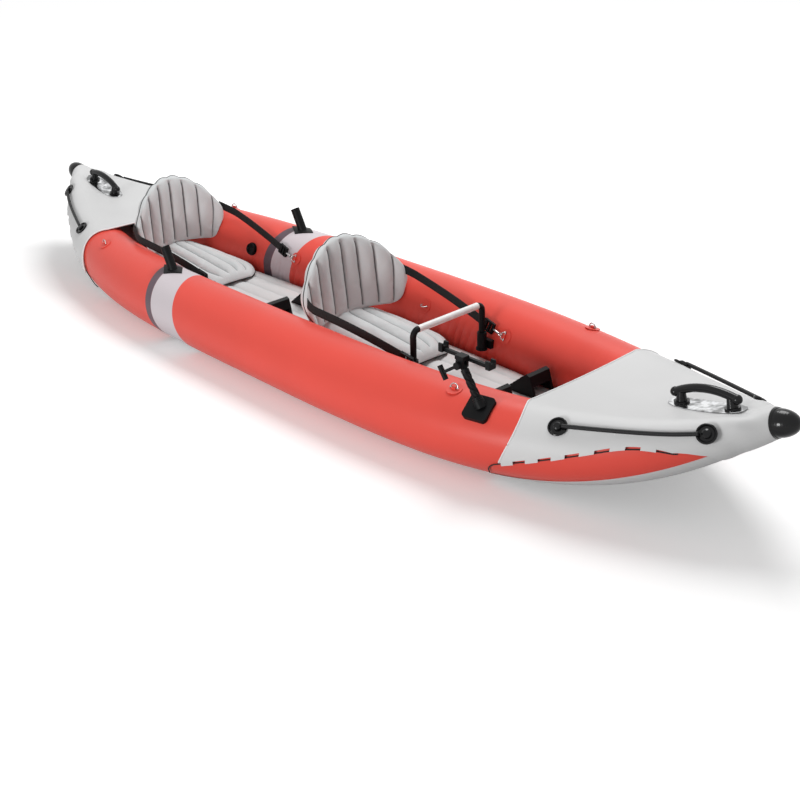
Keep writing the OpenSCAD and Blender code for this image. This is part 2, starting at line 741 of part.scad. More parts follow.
// Snap hook: a swivel block with a round hook that reaches through the ring
module hook() {
    translate([-hook_eye, 0, 0]) rotate([90, 0, 0]) rotate([0, 0, -120])
        rotate_extrude(angle = 300) translate([hook_r, 0]) circle(d = hook_wire);
    translate([hook_r - hook_eye, 0, 0]) rotate([0, 90, 0])
        cylinder(d = hook_block_d, h = hook_eye - hook_r - seat_gap);
}

module strap_hooks() {
    color(steel) for (k = [0, 1], s = [1, -1]) side(s) on_strap(k) hook();
}

// Tie-down rings: a bent wire whose straight bar turns in a welded tunnel
spare_ring_ahead = 129;
spare_ring_x = front_seat_x + spare_ring_ahead;
bow_ring_back = 235;
stern_ring_ahead = 105;
bow_ring = [deck_edge - bow_ring_back, 75];
stern_ring = [deck_edge - stern_ring_ahead, 63];
tunnel_w = 14;
tunnel_deep = 9;

module ring_patch() {
    difference() {
        union() {
            cylinder(d = patch_d, h = 2);
            translate([-tunnel_w / 2, -tunnel_deep / 2, 1])
                cube([tunnel_w, tunnel_deep, ring_axis_h + ring_wire / 2 + 1]);
        }
        translate([0, 0, ring_axis_h]) rotate([0, 90, 0])
            cylinder(r = ring_wire / 2 + pin_gap, h = patch_d, center = true);
    }
}

module ring(tilt) {
    translate([0, 0, ring_axis_h]) rotate([tilt, 0, 0]) {
        rotate([0, 90, 0]) cylinder(d = ring_wire, h = ring_w + 2 * ring_wire + 3, center = true);
        rotate([90, 0, 0]) rotate_extrude(angle = 180) translate([ring_r, 0]) circle(d = ring_wire);
    }
}

module bow_ring_place() { on_tube(bow_ring[0], bow_ring[1], fit_gap) children(); }
module stern_ring_place() { on_tube(-stern_ring[0], stern_ring[1], fit_gap) children(); }
module spare_ring_place() { on_tube(spare_ring_x, strap_ring_angle, fit_gap) children(); }
module strap_ring_place(k) {
    on_tube(strap_ring_x[k], strap_ring_angle, fit_gap) rotate([0, 0, 90]) children();
}

module ring_patches() {
    color(red) for (s = [1, -1]) side(s) {
        bow_ring_place() ring_patch();
        stern_ring_place() ring_patch();
        spare_ring_place() ring_patch();
        strap_ring_place(0) ring_patch();
        strap_ring_place(1) ring_patch();
    }
}

module strap_rings() {
    color(steel) for (s = [1, -1], k = [0, 1]) side(s) strap_ring_place(k) ring(-strap_ring_tilt);
}

free_ring_tilt = 25;
module bow_tie_ring(s) { color(steel) side(s) bow_ring_place() ring(free_ring_tilt); }
module stern_tie_ring(s) { color(steel) side(s) stern_ring_place() ring(free_ring_tilt); }
module spare_tie_ring(s) { color(steel) side(s) spare_ring_place() ring(free_ring_tilt); }

// Crossbar: a tube with two plastic legs that lift out of sockets on the side tubes
leg_d = 22;
bar_wall = 2.5;
spigot_len = 28;
elbow_r = 24;
socket_d = 34;
socket_top = 196;
socket_h = 66;
leg_foot = socket_top - socket_h + 8;
leg_y = inner_y(bar_x, socket_top - 40) - bar_side;
bar_span = 2 * leg_y;

module crossbar_tube() {
    color(steel) translate([bar_x, 0, bar_z]) rotate([90, 0, 0]) difference() {
        cylinder(d = bar_d, h = bar_span - 2 * elbow_r - 2 * seat_gap, center = true);
        cylinder(d = bar_d - 2 * bar_wall, h = bar_span, center = true);
    }
}

module crossbar_leg() {
    translate([bar_x, leg_y, leg_foot]) cylinder(d = leg_d, h = bar_z - elbow_r - leg_foot + 0.01);
    translate([bar_x, leg_y - elbow_r, bar_z - elbow_r]) rotate([90, 0, 90]) rotate_extrude(angle = 90)
        translate([elbow_r, 0]) circle(d = leg_d);
    translate([bar_x, leg_y - elbow_r + 2, bar_z]) rotate([90, 0, 0])
        cylinder(d = bar_d - 2 * bar_wall - 2 * seat_gap, h = spigot_len);
}

module crossbar_legs() {
    color(black) for (s = [1, -1]) side(s) crossbar_leg();
}

module crossbar_socket() {
    reach = inner_y(bar_x, socket_top - 40) - leg_y;
    translate([bar_x, leg_y, socket_top - socket_h]) difference() {
        union() {
            cylinder(d = socket_d, h = socket_h);
            cylinder(d = socket_d + 8, h = 6);
        }
        translate([0, 0, 8 - slide_gap]) cylinder(d = leg_d + 2 * slide_gap, h = socket_h);
    }
    difference() {
        translate([bar_x - 30, leg_y + socket_d / 2 - 4, socket_top - 62]) cube([60, reach, 30]);
        tube_round(bar_x, 180, fit_gap);
    }
}

module crossbar_sockets() {
    color(black) for (s = [1, -1]) side(s) crossbar_socket();
}

// Rod holders: a leaning tube through a diamond flange, closed at its foot
rod_r = rod_bore_d / 2 + rod_wall;
flange_t = 4;
flange_long = 66;
flange_wide = 44;

module rod_place() {
    translate([-rod_x, tube_y(rod_x), top_z(rod_x)]) rotate([0, -rod_lean, 0]) children();
}

module rod_holder(s) {
    color(black) side(s) difference() {
        union() {
            rod_place() translate([0, 0, -rod_in - rod_wall])
                cylinder(r = rod_r, h = rod_in + rod_wall + rod_out);
            on_tube(-rod_x, 90) intersection() {
                translate([0, 0, -40]) linear_extrude(60)
                    polygon([[flange_long, 0], [0, flange_wide], [-flange_long, 0], [0, -flange_wide]]);
                translate([0, 0, -tube_r(rod_x)]) rotate([0, 90, 0]) difference() {
                    cylinder(r = tube_r(rod_x) + flange_t, h = 300, center = true);
                    cylinder(r = tube_r(rod_x) + fit_gap, h = 400, center = true);
                }
            }
        }
        rod_place() translate([0, 0, -rod_in]) cylinder(d = rod_bore_d, h = rod_in + rod_out + 1);
    }
}

// Clamp-on mount on the starboard tube: pad, swivel post, tilting head, cradle and clamp lever
mount_angle = 55;
boss_d = 36;
boss_h = 26;
post_peg_d = 16;
post_peg_len = 18;
post_d = 26;
pad_t = 9;
head_pin_d = 10;
mount_seat = on_skin(mount_x, mount_angle, pad_t);
mount_top = mount_seat + [-6, -6, boss_h - 6];

module post_place() {
    translate([mount_top[0], -mount_top[1], mount_top[2]]) rotate([0, -post_lean, 0]) children();
}

module head_place() {
    post_place() translate([0, 0, post_len]) rotate([0, post_lean, 0]) children();
}

module mount_base() {
    color(black) difference() {
        union() {
            side(-1) on_tube(mount_x, mount_angle) translate([0, 0, -14]) linear_extrude(14 + pad_t)
                hull() for (i = [-1, 1], j = [-1, 1])
                    translate([i, j] * (mount_pad_w / 2 - 14)) circle(r = 14, $fn = 32);
            post_place() translate([0, 0, -boss_h]) cylinder(d = boss_d, h = boss_h - seat_gap);
        }
        side(-1) tube_round(mount_x, mount_angle, fit_gap);
        post_place() translate([0, 0, -post_peg_len - 1]) cylinder(d = post_peg_d + 2 * pin_gap, h = 60);
    }
}

module mount_post() {
    color(black) post_place() {
        translate([0, 0, -post_peg_len]) cylinder(d = post_peg_d, h = post_peg_len + 8);
        cylinder(d = post_d + 6, h = 8);
        translate([0, 0, 7]) linear_extrude(post_len - 34, twist = 260, slices = 14)
            polygon([for (i = [0:15]) post_d / 2 * (i % 4 < 2 ? 1 : 0.7) * [cos(22.5 * i), sin(22.5 * i)]]);
        translate([0, 0, post_len - 28]) cylinder(d = post_d, h = 10);
        difference() {
            translate([-9, -6, post_len - 20]) cube([18, 12, 31]);
            translate([0, 0, post_len]) rotate([90, 0, 0])
                cylinder(d = head_pin_d + 2 * pin_gap, h = 40, center = true);
        }
    }
}

head_ear_t = 8;
head_gap = 12 + 2 * slide_gap;
module mount_head() {
    color(black) head_place() {
        for (k = [-1, 1]) translate([-14, k > 0 ? head_gap / 2 : -head_gap / 2 - head_ear_t, -9])
            cube([28, head_ear_t, 36]);
        rotate([90, 0, 0]) cylinder(d = head_pin_d, h = head_gap + 2 * head_ear_t - 2, center = true);
        translate([-17, -head_gap / 2 - head_ear_t, 16]) cube([34, head_gap + 2 * head_ear_t, 14]);
    }
}

// Cradle: a slim bar along the head's inboard face, with a forked rest at each end for the shaft
cradle_h = 12;
cradle_t = 10;
cradle_low = 8;
fork_len = 16;
fork_w = 30;
fork_h = 28;
fork_r = 9;
module mount_cradle() {
    color(black) head_place() translate([0, head_gap / 2 + head_ear_t + seat_gap, cradle_low]) {
        translate([-cradle_len / 2, 0, 0]) cube([cradle_len, cradle_t, cradle_h]);
        for (k = [-1, 1]) translate([k * (cradle_len - fork_len) / 2, cradle_t / 2, 0]) difference() {
            translate([-fork_len / 2, -fork_w / 2, 0]) cube([fork_len, fork_w, fork_h]);
            translate([0, 0, fork_h - 2]) rotate([0, 90, 0])
                cylinder(r = fork_r, h = 2 * fork_len, center = true);
        }
    }
}

// Clamp lever: a knurled hub on the head's pin with an arm and cross grip
lever_len = 74;
lever_drop = 34;
module mount_lever() {
    color(black) head_place() translate([0, -head_gap / 2 - head_ear_t - slide_gap, 0]) rotate([90, 0, 0]) {
        cylinder(d = 24, h = 12);
        rotate([0, 0, -180 + lever_drop]) {
            translate([0, -5, 2]) cube([lever_len, 10, 8]);
            translate([lever_len - 6, -24, 0]) cube([12, 48, 12]);
        }
    }
}

// Valves: a barrel through the tube wall with a sprung plunger under a cap
valve_ahead = 217;
valve_x = rear_seat_x - valve_ahead;
valve_angle = 163;
valve_depth = 30;
valve_barrel_r = 18;
valve_bore_r = 14;
valve_flange_t = 3;
plunger_r = 11;
stem_r = 3;
cap_t = 9;
plunger_room = 16;

module valve_place() {
    on_tube(-valve_x, valve_angle, fit_gap) children();
}

module valve_body() {
    difference() {
        union() {
            cylinder(d = valve_d, h = valve_flange_t);
            translate([0, 0, -valve_depth]) cylinder(r = valve_barrel_r, h = valve_depth + 1);
        }
        translate([0, 0, -valve_depth + 4]) cylinder(r = valve_bore_r, h = valve_depth + 10);
        translate([0, 0, -valve_depth - 1]) cylinder(r = stem_r + pin_gap, h = 8);
        for (a = [0:60:300]) rotate(a) translate([8.5, 0, -valve_depth - 1]) cylinder(r = 2, h = 8);
    }
}

module valve_bodies() {
    color(black) for (s = [1, -1]) side(s) valve_place() valve_body();
}

module valve_plunger(s) {
    color(steel) side(s) valve_place() {
        translate([0, 0, -valve_depth - 5]) cylinder(r = stem_r, h = valve_depth - 3);
        translate([0, 0, -9]) cylinder(r = plunger_r, h = 4);
    }
}

module valve_spring(s) {
    color(steel) side(s) valve_place() translate([0, 0, -valve_depth + 4 + seat_gap / 2])
        difference() {
            cylinder(r = 6, h = valve_depth - 13 - seat_gap);
            translate([0, 0, -1]) cylinder(r = 4.4, h = valve_depth);
        }
}

module valve_cap(s) {
    color(black) side(s) valve_place() translate([0, 0, valve_flange_t + seat_gap]) difference() {
        union() {
            cylinder(d = valve_d - 8, h = cap_t);
            translate([0, 0, -valve_flange_t - 4]) cylinder(r = valve_bore_r - pin_gap, h = 8);
        }
        translate([0, 0, cap_t - 4]) difference() {
            cylinder(d = valve_d - 18, h = 6);
            cube([valve_d, 7, 30], center = true);
        }
    }
}

// Footrests: ribbed pedals on the floor, open behind
footrest_ahead = [685, 656];
footrest_x = seat_x + footrest_ahead;
// A pedal stands near the middle of the room between the keel line and the tube
pedal_out = 8;
foot_room = inner_y(footrest_x[0] + pedal_len, floor_z(footrest_x[0]) + pedal_h);
footrest_y = foot_room / 2 + pedal_out;

module footrest() {
    peak = pedal_len * 0.74;
    outline = [[0, 0], [peak, pedal_h], [peak + 14, pedal_h - 6], [pedal_len, 0]];
    translate([0, pedal_w / 2, 0]) rotate([90, 0, 0]) difference() {
        linear_extrude(pedal_w) polygon(outline);
        translate([0, 0, 10]) linear_extrude(pedal_w - 20)
            polygon([
                [26, 6], [peak - 2, pedal_h - 22], [peak + 8, pedal_h - 24], [pedal_len + 20, -1], [26, -1]
            ]);
    }
    slope = atan(pedal_h / peak);
    for (i = [1:4]) rotate([0, -slope, 0]) translate([i * 20, -pedal_w / 2 + 6, -1])
        cube([6, pedal_w - 12, 4]);
}

module footrests() {
    color(black) for (x = footrest_x, s = [1, -1])
        translate([x, s * footrest_y, floor_z(x) + seat_gap])
            rotate([0, -atan((floor_z(x + pedal_len) - floor_z(x)) / pedal_len), 0]) footrest();
}

side_tube(1);  // port_tube
side_tube(-1);  // starboard_tube
floor_chamber();
hull_bottom();
keel_wrap(1);  // bow_keel_wrap
keel_wrap(-1);  // stern_keel_wrap
deck(1);  // bow_deck
deck(-1);  // stern_deck
deck_tabs();
nose_cap(1);  // bow_nose_cap
nose_cap(-1);  // stern_nose_cap
handle(1);  // bow_handle
handle(-1);  // stern_handle
handle_patches();
rope_anchors();
grab_line(1, 1);  // bow_port_line
grab_line(1, -1);  // bow_starboard_line
grab_line(-1, 1);  // stern_port_line
grab_line(-1, -1);  // stern_starboard_line
lacing(1, 1);  // bow_port_lacing
lacing(1, -1);  // bow_starboard_lacing
lacing(-1, 1);  // stern_port_lacing
lacing(-1, -1);  // stern_starboard_lacing
seat_base(seat_x[1]);  // rear_seat_base
backrest(seat_x[1]);  // rear_backrest
seat_base(seat_x[0]);  // front_seat_base
backrest(seat_x[0]);  // front_backrest
seat_welts();
strap(1, 1);  // rear_port_strap
strap(1, -1);  // rear_starboard_strap
strap(0, 1);  // front_port_strap
strap(0, -1);  // front_starboard_strap
strap_buckles();
strap_hooks();
ring_patches();
strap_rings();
bow_tie_ring(1);  // bow_port_ring
bow_tie_ring(-1);  // bow_starboard_ring
stern_tie_ring(1);  // stern_port_ring
stern_tie_ring(-1);  // stern_starboard_ring
spare_tie_ring(1);  // spare_port_ring
spare_tie_ring(-1);  // spare_starboard_ring
crossbar_tube();
crossbar_legs();
crossbar_sockets();
rod_holder(1);  // port_rod_holder
rod_holder(-1);  // starboard_rod_holder
mount_base();
mount_post();
mount_head();
mount_cradle();
mount_lever();
valve_bodies();
valve_plunger(1);  // port_valve_plunger
valve_plunger(-1);  // starboard_valve_plunger
valve_spring(1);  // port_valve_spring
valve_spring(-1);  // starboard_valve_spring
valve_cap(1);  // port_valve_cap
valve_cap(-1);  // starboard_valve_cap
footrests();
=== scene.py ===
# %% [markdown]
# # A two-seat inflatable kayak
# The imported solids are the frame: they hold the sizes, the fits and the joints. This lesson dresses
# them. Air-filled and sewn pieces are rebuilt as fine meshes over the same hull lines, hard fittings
# keep their solids or get a finer copy, and every surface gets a procedural finish.

# %% Load the frame
import math
import bpy
import numpy as np
from mathutils import Matrix, Vector, noise


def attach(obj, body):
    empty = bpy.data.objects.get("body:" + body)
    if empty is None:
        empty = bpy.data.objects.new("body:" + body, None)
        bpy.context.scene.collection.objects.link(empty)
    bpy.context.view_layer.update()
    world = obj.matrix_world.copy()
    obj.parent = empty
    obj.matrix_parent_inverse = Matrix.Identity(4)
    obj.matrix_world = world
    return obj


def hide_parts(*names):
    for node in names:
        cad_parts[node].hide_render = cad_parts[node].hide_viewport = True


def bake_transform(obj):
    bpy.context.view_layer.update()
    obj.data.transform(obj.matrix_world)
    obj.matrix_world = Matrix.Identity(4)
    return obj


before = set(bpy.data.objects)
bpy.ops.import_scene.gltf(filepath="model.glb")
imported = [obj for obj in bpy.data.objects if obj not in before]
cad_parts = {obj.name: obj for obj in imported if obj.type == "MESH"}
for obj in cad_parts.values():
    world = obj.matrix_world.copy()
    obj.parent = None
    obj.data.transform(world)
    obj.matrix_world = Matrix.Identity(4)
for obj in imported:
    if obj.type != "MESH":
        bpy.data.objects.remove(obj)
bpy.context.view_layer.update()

# %% [markdown]
# ## Camera
# The camera comes first, because everything is judged through it. Its place was solved from the
# hull's tips and deck corners: a long lens, a quarter view over the starboard bow, a slight roll.

# %% Camera
AZIMUTH, ELEVATION, ROLL = math.radians(50.0), math.radians(21.51), math.radians(-2.34)
AIM = Vector((0, 0, 0.2))
DISTANCE = 4.891
LENS, SENSOR, SHIFT_X, SHIFT_Y = 58.158, 36, 0.0814, -0.1246
level = math.cos(ELEVATION)
back = Vector((math.sin(AZIMUTH) * level, -math.cos(AZIMUTH) * level, math.sin(ELEVATION)))
right = Vector((math.cos(AZIMUTH), math.sin(AZIMUTH), 0))
up = back.cross(right)
rolled_right = right * math.cos(ROLL) + up * math.sin(ROLL)
rolled_up = up * math.cos(ROLL) - right * math.sin(ROLL)
camera_data = bpy.data.cameras.new("camera")
camera_data.lens = LENS
camera_data.sensor_width = SENSOR
camera_data.shift_x = SHIFT_X
camera_data.shift_y = SHIFT_Y
camera = bpy.data.objects.new("camera", camera_data)
bpy.context.scene.collection.objects.link(camera)
stand = AIM + back * DISTANCE
camera.matrix_world = Matrix((
    (rolled_right.x, rolled_up.x, back.x, stand.x),
    (rolled_right.y, rolled_up.y, back.y, stand.y),
    (rolled_right.z, rolled_up.z, back.z, stand.z),
    (0, 0, 0, 1),
))
bpy.context.scene.camera = camera
print("camera at", [round(v, 3) for v in stand])

# %% [markdown]
# ## Hull lines
# One set of formulas gives the centre line, height and radius of the side tubes at any station, and
# every skin, deck and strap is measured from them. These are the same lines that the solids follow.

# %% Hull lines
HULL_BEAM, TUBE_R, TIP_R, TIP_RISE = 0.942, 0.133, 0.035, 0.215
LINE_HALF = 1.850075
GROUND_R = TUBE_R * math.cos(math.pi / 32)
GAUGE = HULL_BEAM / 2 - GROUND_R
TUBE_END = LINE_HALF - 0.03
TOUCH_GAP, TOUCH_SWELL = 0.0004, 0.003
GAUGE_POWER, RISE_POWER, TAPER_POWER = 3.3, 5.9, 5.2
ENDS = (("bow", 1), ("stern", -1))
SIDES = (("port", 1), ("starboard", -1))


def share(x):
    return np.minimum(1, np.abs(x) / LINE_HALF)


def tube_y(x):
    return GAUGE * (1 - share(x) ** GAUGE_POWER)


def tube_z(x):
    return GROUND_R + TIP_RISE * share(x) ** RISE_POWER


def tube_r(x):
    return TUBE_R + (TIP_R - TUBE_R) * share(x) ** TAPER_POWER


def skin(x, angle, off=0.0):
    """Point on the port tube: station, degrees up from outboard, distance off the skin."""
    a = np.radians(angle)
    r = tube_r(x) + off
    y = np.maximum(TOUCH_GAP + TOUCH_SWELL * (1 - np.abs(np.cos(a))), tube_y(x) + r * np.cos(a))
    return np.stack(np.broadcast_arrays(x + 0 * a, y, tube_z(x) + r * np.sin(a)), -1)


def inner_y(x, z):
    """Inner face of the port tube at a height."""
    return tube_y(x) - np.sqrt(np.maximum(0, tube_r(x) ** 2 - (z - tube_z(x)) ** 2))


def ripple(points, scale, seed=0.0):
    """Soft even noise, from -1 to 1, at each point."""
    flat = np.asarray(points).reshape(-1, 3) * scale
    values = [noise.noise(Vector((p[0] + seed, p[1], p[2]))) for p in flat]
    return np.array(values).reshape(np.asarray(points).shape[:-1])


print("tube radius amidships", TUBE_R, "m, at the tips", TIP_R, "m")

# %% [markdown]
# ## Mesh helpers
# Skins and cushions are cut and welded from flat cloth, and could be sculpted from spheres and boxes.
# Here they are lofts instead, because a grid of points can follow the hull lines exactly: rows run along
# the piece and columns across it. The UV map is in metres, so a weave keeps its scale on every piece.

# %% Piece helpers
def only(piece):
    """Select one piece and make it active, with nothing else selected."""
    bpy.ops.object.select_all(action="DESELECT")
    piece.select_set(True)
    bpy.context.view_layer.objects.active = piece


def edit_all(piece, operator, **settings):
    """Run an edit mode operator on the whole of a piece."""
    only(piece)
    bpy.ops.object.mode_set(mode="EDIT")
    bpy.ops.mesh.select_all(action="SELECT")
    operator(**settings)
    bpy.ops.object.mode_set(mode="OBJECT")


def outward(piece):
    edit_all(piece, bpy.ops.mesh.normals_make_consistent, inside=False)


def modify(piece, kind, **settings):
    """Add a modifier, set it and apply it."""
    only(piece)
    modifier = piece.modifiers.new(kind.lower(), kind)
    for key, value in settings.items():
        setattr(modifier, key, value)
    bpy.ops.object.modifier_apply(modifier=modifier.name)


def dress(piece, finish, body="hull", stands_for=(), angle=None):
    """Give a piece its finish, its shading, the body it rides on and the nodes it stands for."""
    piece.data.materials.clear()
    piece.data.materials.append(finish)
    only(piece)
    if angle is None:
        bpy.ops.object.shade_smooth()
    else:
        bpy.ops.object.shade_smooth_by_angle(angle=math.radians(angle))
    if body:
        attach(piece, body)
    if stands_for:
        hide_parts(*stands_for)
    print(piece.name, len(piece.data.polygons), "faces")


# %% Grid helpers
def distance_along(route):
    """Distance from the start of a route to each of its points."""
    return np.concatenate([[0], np.cumsum(np.linalg.norm(np.diff(route, axis=0), axis=1))])


def loft(name, rows, closed=False, capped=False, keep=None):
    """Mesh through a grid of points. closed joins the last column to the first; keep masks faces."""
    rows = np.asarray(rows, float)
    n, m = rows.shape[:2]
    columns = m if closed else m - 1
    faces, uvs = [], []
    along = np.concatenate([[0], np.cumsum(np.linalg.norm(np.diff(rows, axis=0), axis=2).mean(1))])
    wide = rows[n // 2]
    around = distance_along(np.vstack([wide, wide[:1]]))
    for i in range(n - 1):
        for j in range(columns):
            if keep is not None and not keep[i, j]:
                continue
            k = (j + 1) % m
            faces.append((i * m + j, (i + 1) * m + j, (i + 1) * m + k, i * m + k))
            start, end = along[i], along[i + 1]
            left, right = around[j], around[j + 1]
            uvs += [(start, left), (end, left), (end, right), (start, right)]
    if capped:
        for ring in (list(range(m)), list(range(n * m - 1, (n - 1) * m - 1, -1))):
            faces.append(tuple(ring))
            uvs += [(0, 0)] * m
    mesh = bpy.data.meshes.new(name)
    mesh.from_pydata(rows.reshape(-1, 3).tolist(), [], faces)
    layer = mesh.uv_layers.new(name="cloth")
    layer.data.foreach_set("uv", np.array(uvs, np.float32).ravel())
    piece = bpy.data.objects.new(name, mesh)
    bpy.context.scene.collection.objects.link(piece)
    if keep is not None:
        edit_all(piece, bpy.ops.mesh.delete_loose)
    return piece


def mirrored(rows):
    return np.asarray(rows) * [1, -1, 1]


def at_end(rows, end_sign):
    return np.asarray(rows) * [end_sign, 1, 1]


def tube_along(name, route, radius, sides=10):
    """Round tube mesh along a route, with its ends closed."""
    route = np.asarray(route, float)
    ahead = np.gradient(route, axis=0)
    ahead /= np.linalg.norm(ahead, axis=1)[:, None]
    helper = np.where(np.abs(ahead[:, 2:3]) < 0.9, [[0, 0, 1.0]], [[1.0, 0, 0]])
    u = np.cross(ahead, helper)
    u /= np.linalg.norm(u, axis=1)[:, None]
    w = np.cross(ahead, u)
    a = math.tau * np.arange(sides) / sides
    ring = u[:, None] * np.cos(a)[None, :, None] + w[:, None] * np.sin(a)[None, :, None]
    piece = loft(name, route[:, None] + radius * ring, closed=True, capped=True)
    outward(piece)
    return piece


print("grids become meshes with a UV map in metres")


# %% [markdown]
# ## Finishes
# Real cloth, plastic and metal are never one flat colour. Painted textures could show that, but they
# need image files, so every finish is a Principled shader fed by two shared node groups: a weave for
# coated and woven cloth, and a mottle that breaks up colour and gloss. The groups put out only heights
# and masks; colours and gloss stay in the material.

# %% Node helpers
def link(tree, source, target):
    tree.links.new(source, target)


def add(tree, kind, **inputs):
    node = tree.nodes.new(kind)
    for key, value in inputs.items():
        node.inputs[key.replace("_", " ")].default_value = value
    return node


def math_node(tree, operation, a, b=None):
    """A Math node; a and b are numbers or sockets."""
    node = tree.nodes.new("ShaderNodeMath")
    node.operation = operation
    for i, value in enumerate([a, b]):
        if value is None:
            continue
        if isinstance(value, (int, float)):
            node.inputs[i].default_value = value
        else:
            link(tree, value, node.inputs[i])
    return node.outputs[0]


def new_group(name, inputs, outputs):
    group = bpy.data.node_groups.new(name, "ShaderNodeTree")
    for label, kind, value in inputs:
        socket = group.interface.new_socket(label, in_out="INPUT", socket_type=kind)
        if value is not None:
            socket.default_value = value
    for label, kind in outputs:
        group.interface.new_socket(label, in_out="OUTPUT", socket_type=kind)
    return group, group.nodes.new("NodeGroupInput"), group.nodes.new("NodeGroupOutput")


# %% Weave group
weave, w_in, w_out = new_group(
    "woven_threads",
    [("Vector", "NodeSocketVector", None), ("Threads per metre", "NodeSocketFloat", 900.0)],
    [("Height", "NodeSocketFloat"), ("Tone", "NodeSocketFloat")],
)
split = weave.nodes.new("ShaderNodeSeparateXYZ")
link(weave, w_in.outputs["Vector"], split.inputs[0])
turns = math_node(weave, "MULTIPLY", w_in.outputs["Threads per metre"], math.pi)
warp = math_node(weave, "SINE", math_node(weave, "MULTIPLY", split.outputs[0], turns))
weft = math_node(weave, "SINE", math_node(weave, "MULTIPLY", split.outputs[1], turns))
crossing = math_node(weave, "MULTIPLY", warp, weft)
link(weave, math_node(weave, "MULTIPLY_ADD", crossing, 0.5), w_out.inputs["Height"])
link(weave, math_node(weave, "ABSOLUTE", crossing), w_out.inputs["Tone"])

# %% Mottle group
mottle, m_in, m_out = new_group(
    "mottle",
    [("Vector", "NodeSocketVector", None), ("Scale", "NodeSocketFloat", 6.0)],
    [("Broad", "NodeSocketFloat"), ("Fine", "NodeSocketFloat")],
)
for label, factor, detail in (("Broad", 1.0, 2.0), ("Fine", 14.0, 5.0)):
    cloud = add(mottle, "ShaderNodeTexNoise", Detail=detail, Roughness=0.55)
    link(mottle, m_in.outputs["Vector"], cloud.inputs["Vector"])
    link(mottle, math_node(mottle, "MULTIPLY", m_in.outputs["Scale"], factor), cloud.inputs["Scale"])
    link(mottle, cloud.outputs["Fac"], m_out.inputs[label])
print("shared groups:", weave.name, "and", mottle.name)


# %% Material helpers
def new_material(name):
    made = bpy.data.materials.new(name)
    made.use_nodes = True
    return made, made.node_tree, made.node_tree.nodes["Principled BSDF"]


def coordinates(tree, kind="Object"):
    return tree.nodes.new("ShaderNodeTexCoord").outputs[kind]


def use_group(tree, group, vector, **inputs):
    node = tree.nodes.new("ShaderNodeGroup")
    node.node_tree = group
    link(tree, vector, node.inputs["Vector"])
    for key, value in inputs.items():
        node.inputs[key.replace("_", " ")].default_value = value
    return node


def tint(tree, factor, low, high):
    """Colour between two tones by a factor socket."""
    mix = tree.nodes.new("ShaderNodeMix")
    mix.data_type = "RGBA"
    for value, socket in ((low, mix.inputs[6]), (high, mix.inputs[7])):
        if isinstance(value, tuple):
            socket.default_value = (*value, 1)
        else:
            link(tree, value, socket)
    link(tree, factor, mix.inputs[0])
    return mix.outputs[2]


def span(tree, value, low, high):
    """0 below low, 1 above high, even between them."""
    node = tree.nodes.new("ShaderNodeMapRange")
    node.clamp = True
    link(tree, value, node.inputs["Value"])
    node.inputs["From Min"].default_value = low
    node.inputs["From Max"].default_value = high
    return node.outputs["Result"]


def ranged(tree, value, low, high):
    """A 0 to 1 value spread from low to high."""
    node = tree.nodes.new("ShaderNodeMapRange")
    link(tree, value, node.inputs["Value"])
    node.inputs["To Min"].default_value = low
    node.inputs["To Max"].default_value = high
    return node.outputs["Result"]


def bump(tree, shader, height, depth, strength=1.0):
    node = add(tree, "ShaderNodeBump", Strength=strength, Distance=depth)
    if shader.inputs["Normal"].is_linked:
        link(tree, shader.inputs["Normal"].links[0].from_socket, node.inputs["Normal"])
    link(tree, height, node.inputs["Height"])
    link(tree, node.outputs[0], shader.inputs["Normal"])


def tone(colour, factor):
    return tuple(c * factor for c in colour)


def paint(tree, shader, factor, low, high):
    link(tree, tint(tree, factor, low, high), shader.inputs["Base Color"])


def vary_gloss(tree, shader, cloud, low, high):
    link(tree, ranged(tree, cloud.outputs["Fine"], low, high), shader.inputs["Roughness"])


# %% [markdown]
# ### Coated cloth
# Tubes and decks are cloth with a smooth plastic coating: satin, with the cloth's threads just showing
# through. The tubes also carry a pale band and a dark stripe. These could be faces with a material of
# their own, but then their edges would step from face to face, so they are painted by station and by an
# attribute that tells the way round the tube.

# %% Coated cloth
RED = (0.80, 0.085, 0.062)
PALE_BAND = (0.66, 0.60, 0.63)
DARK_STRIPE = (0.125, 0.085, 0.105)
DECK_GREY = (0.70, 0.70, 0.70)
BAND_BLUR = 0.0012
STRIPE_AFT, STRIPE_FORE, BAND_FORE = (-0.600, 0.094), (-0.560, 0.087), (-0.403, 0.124)


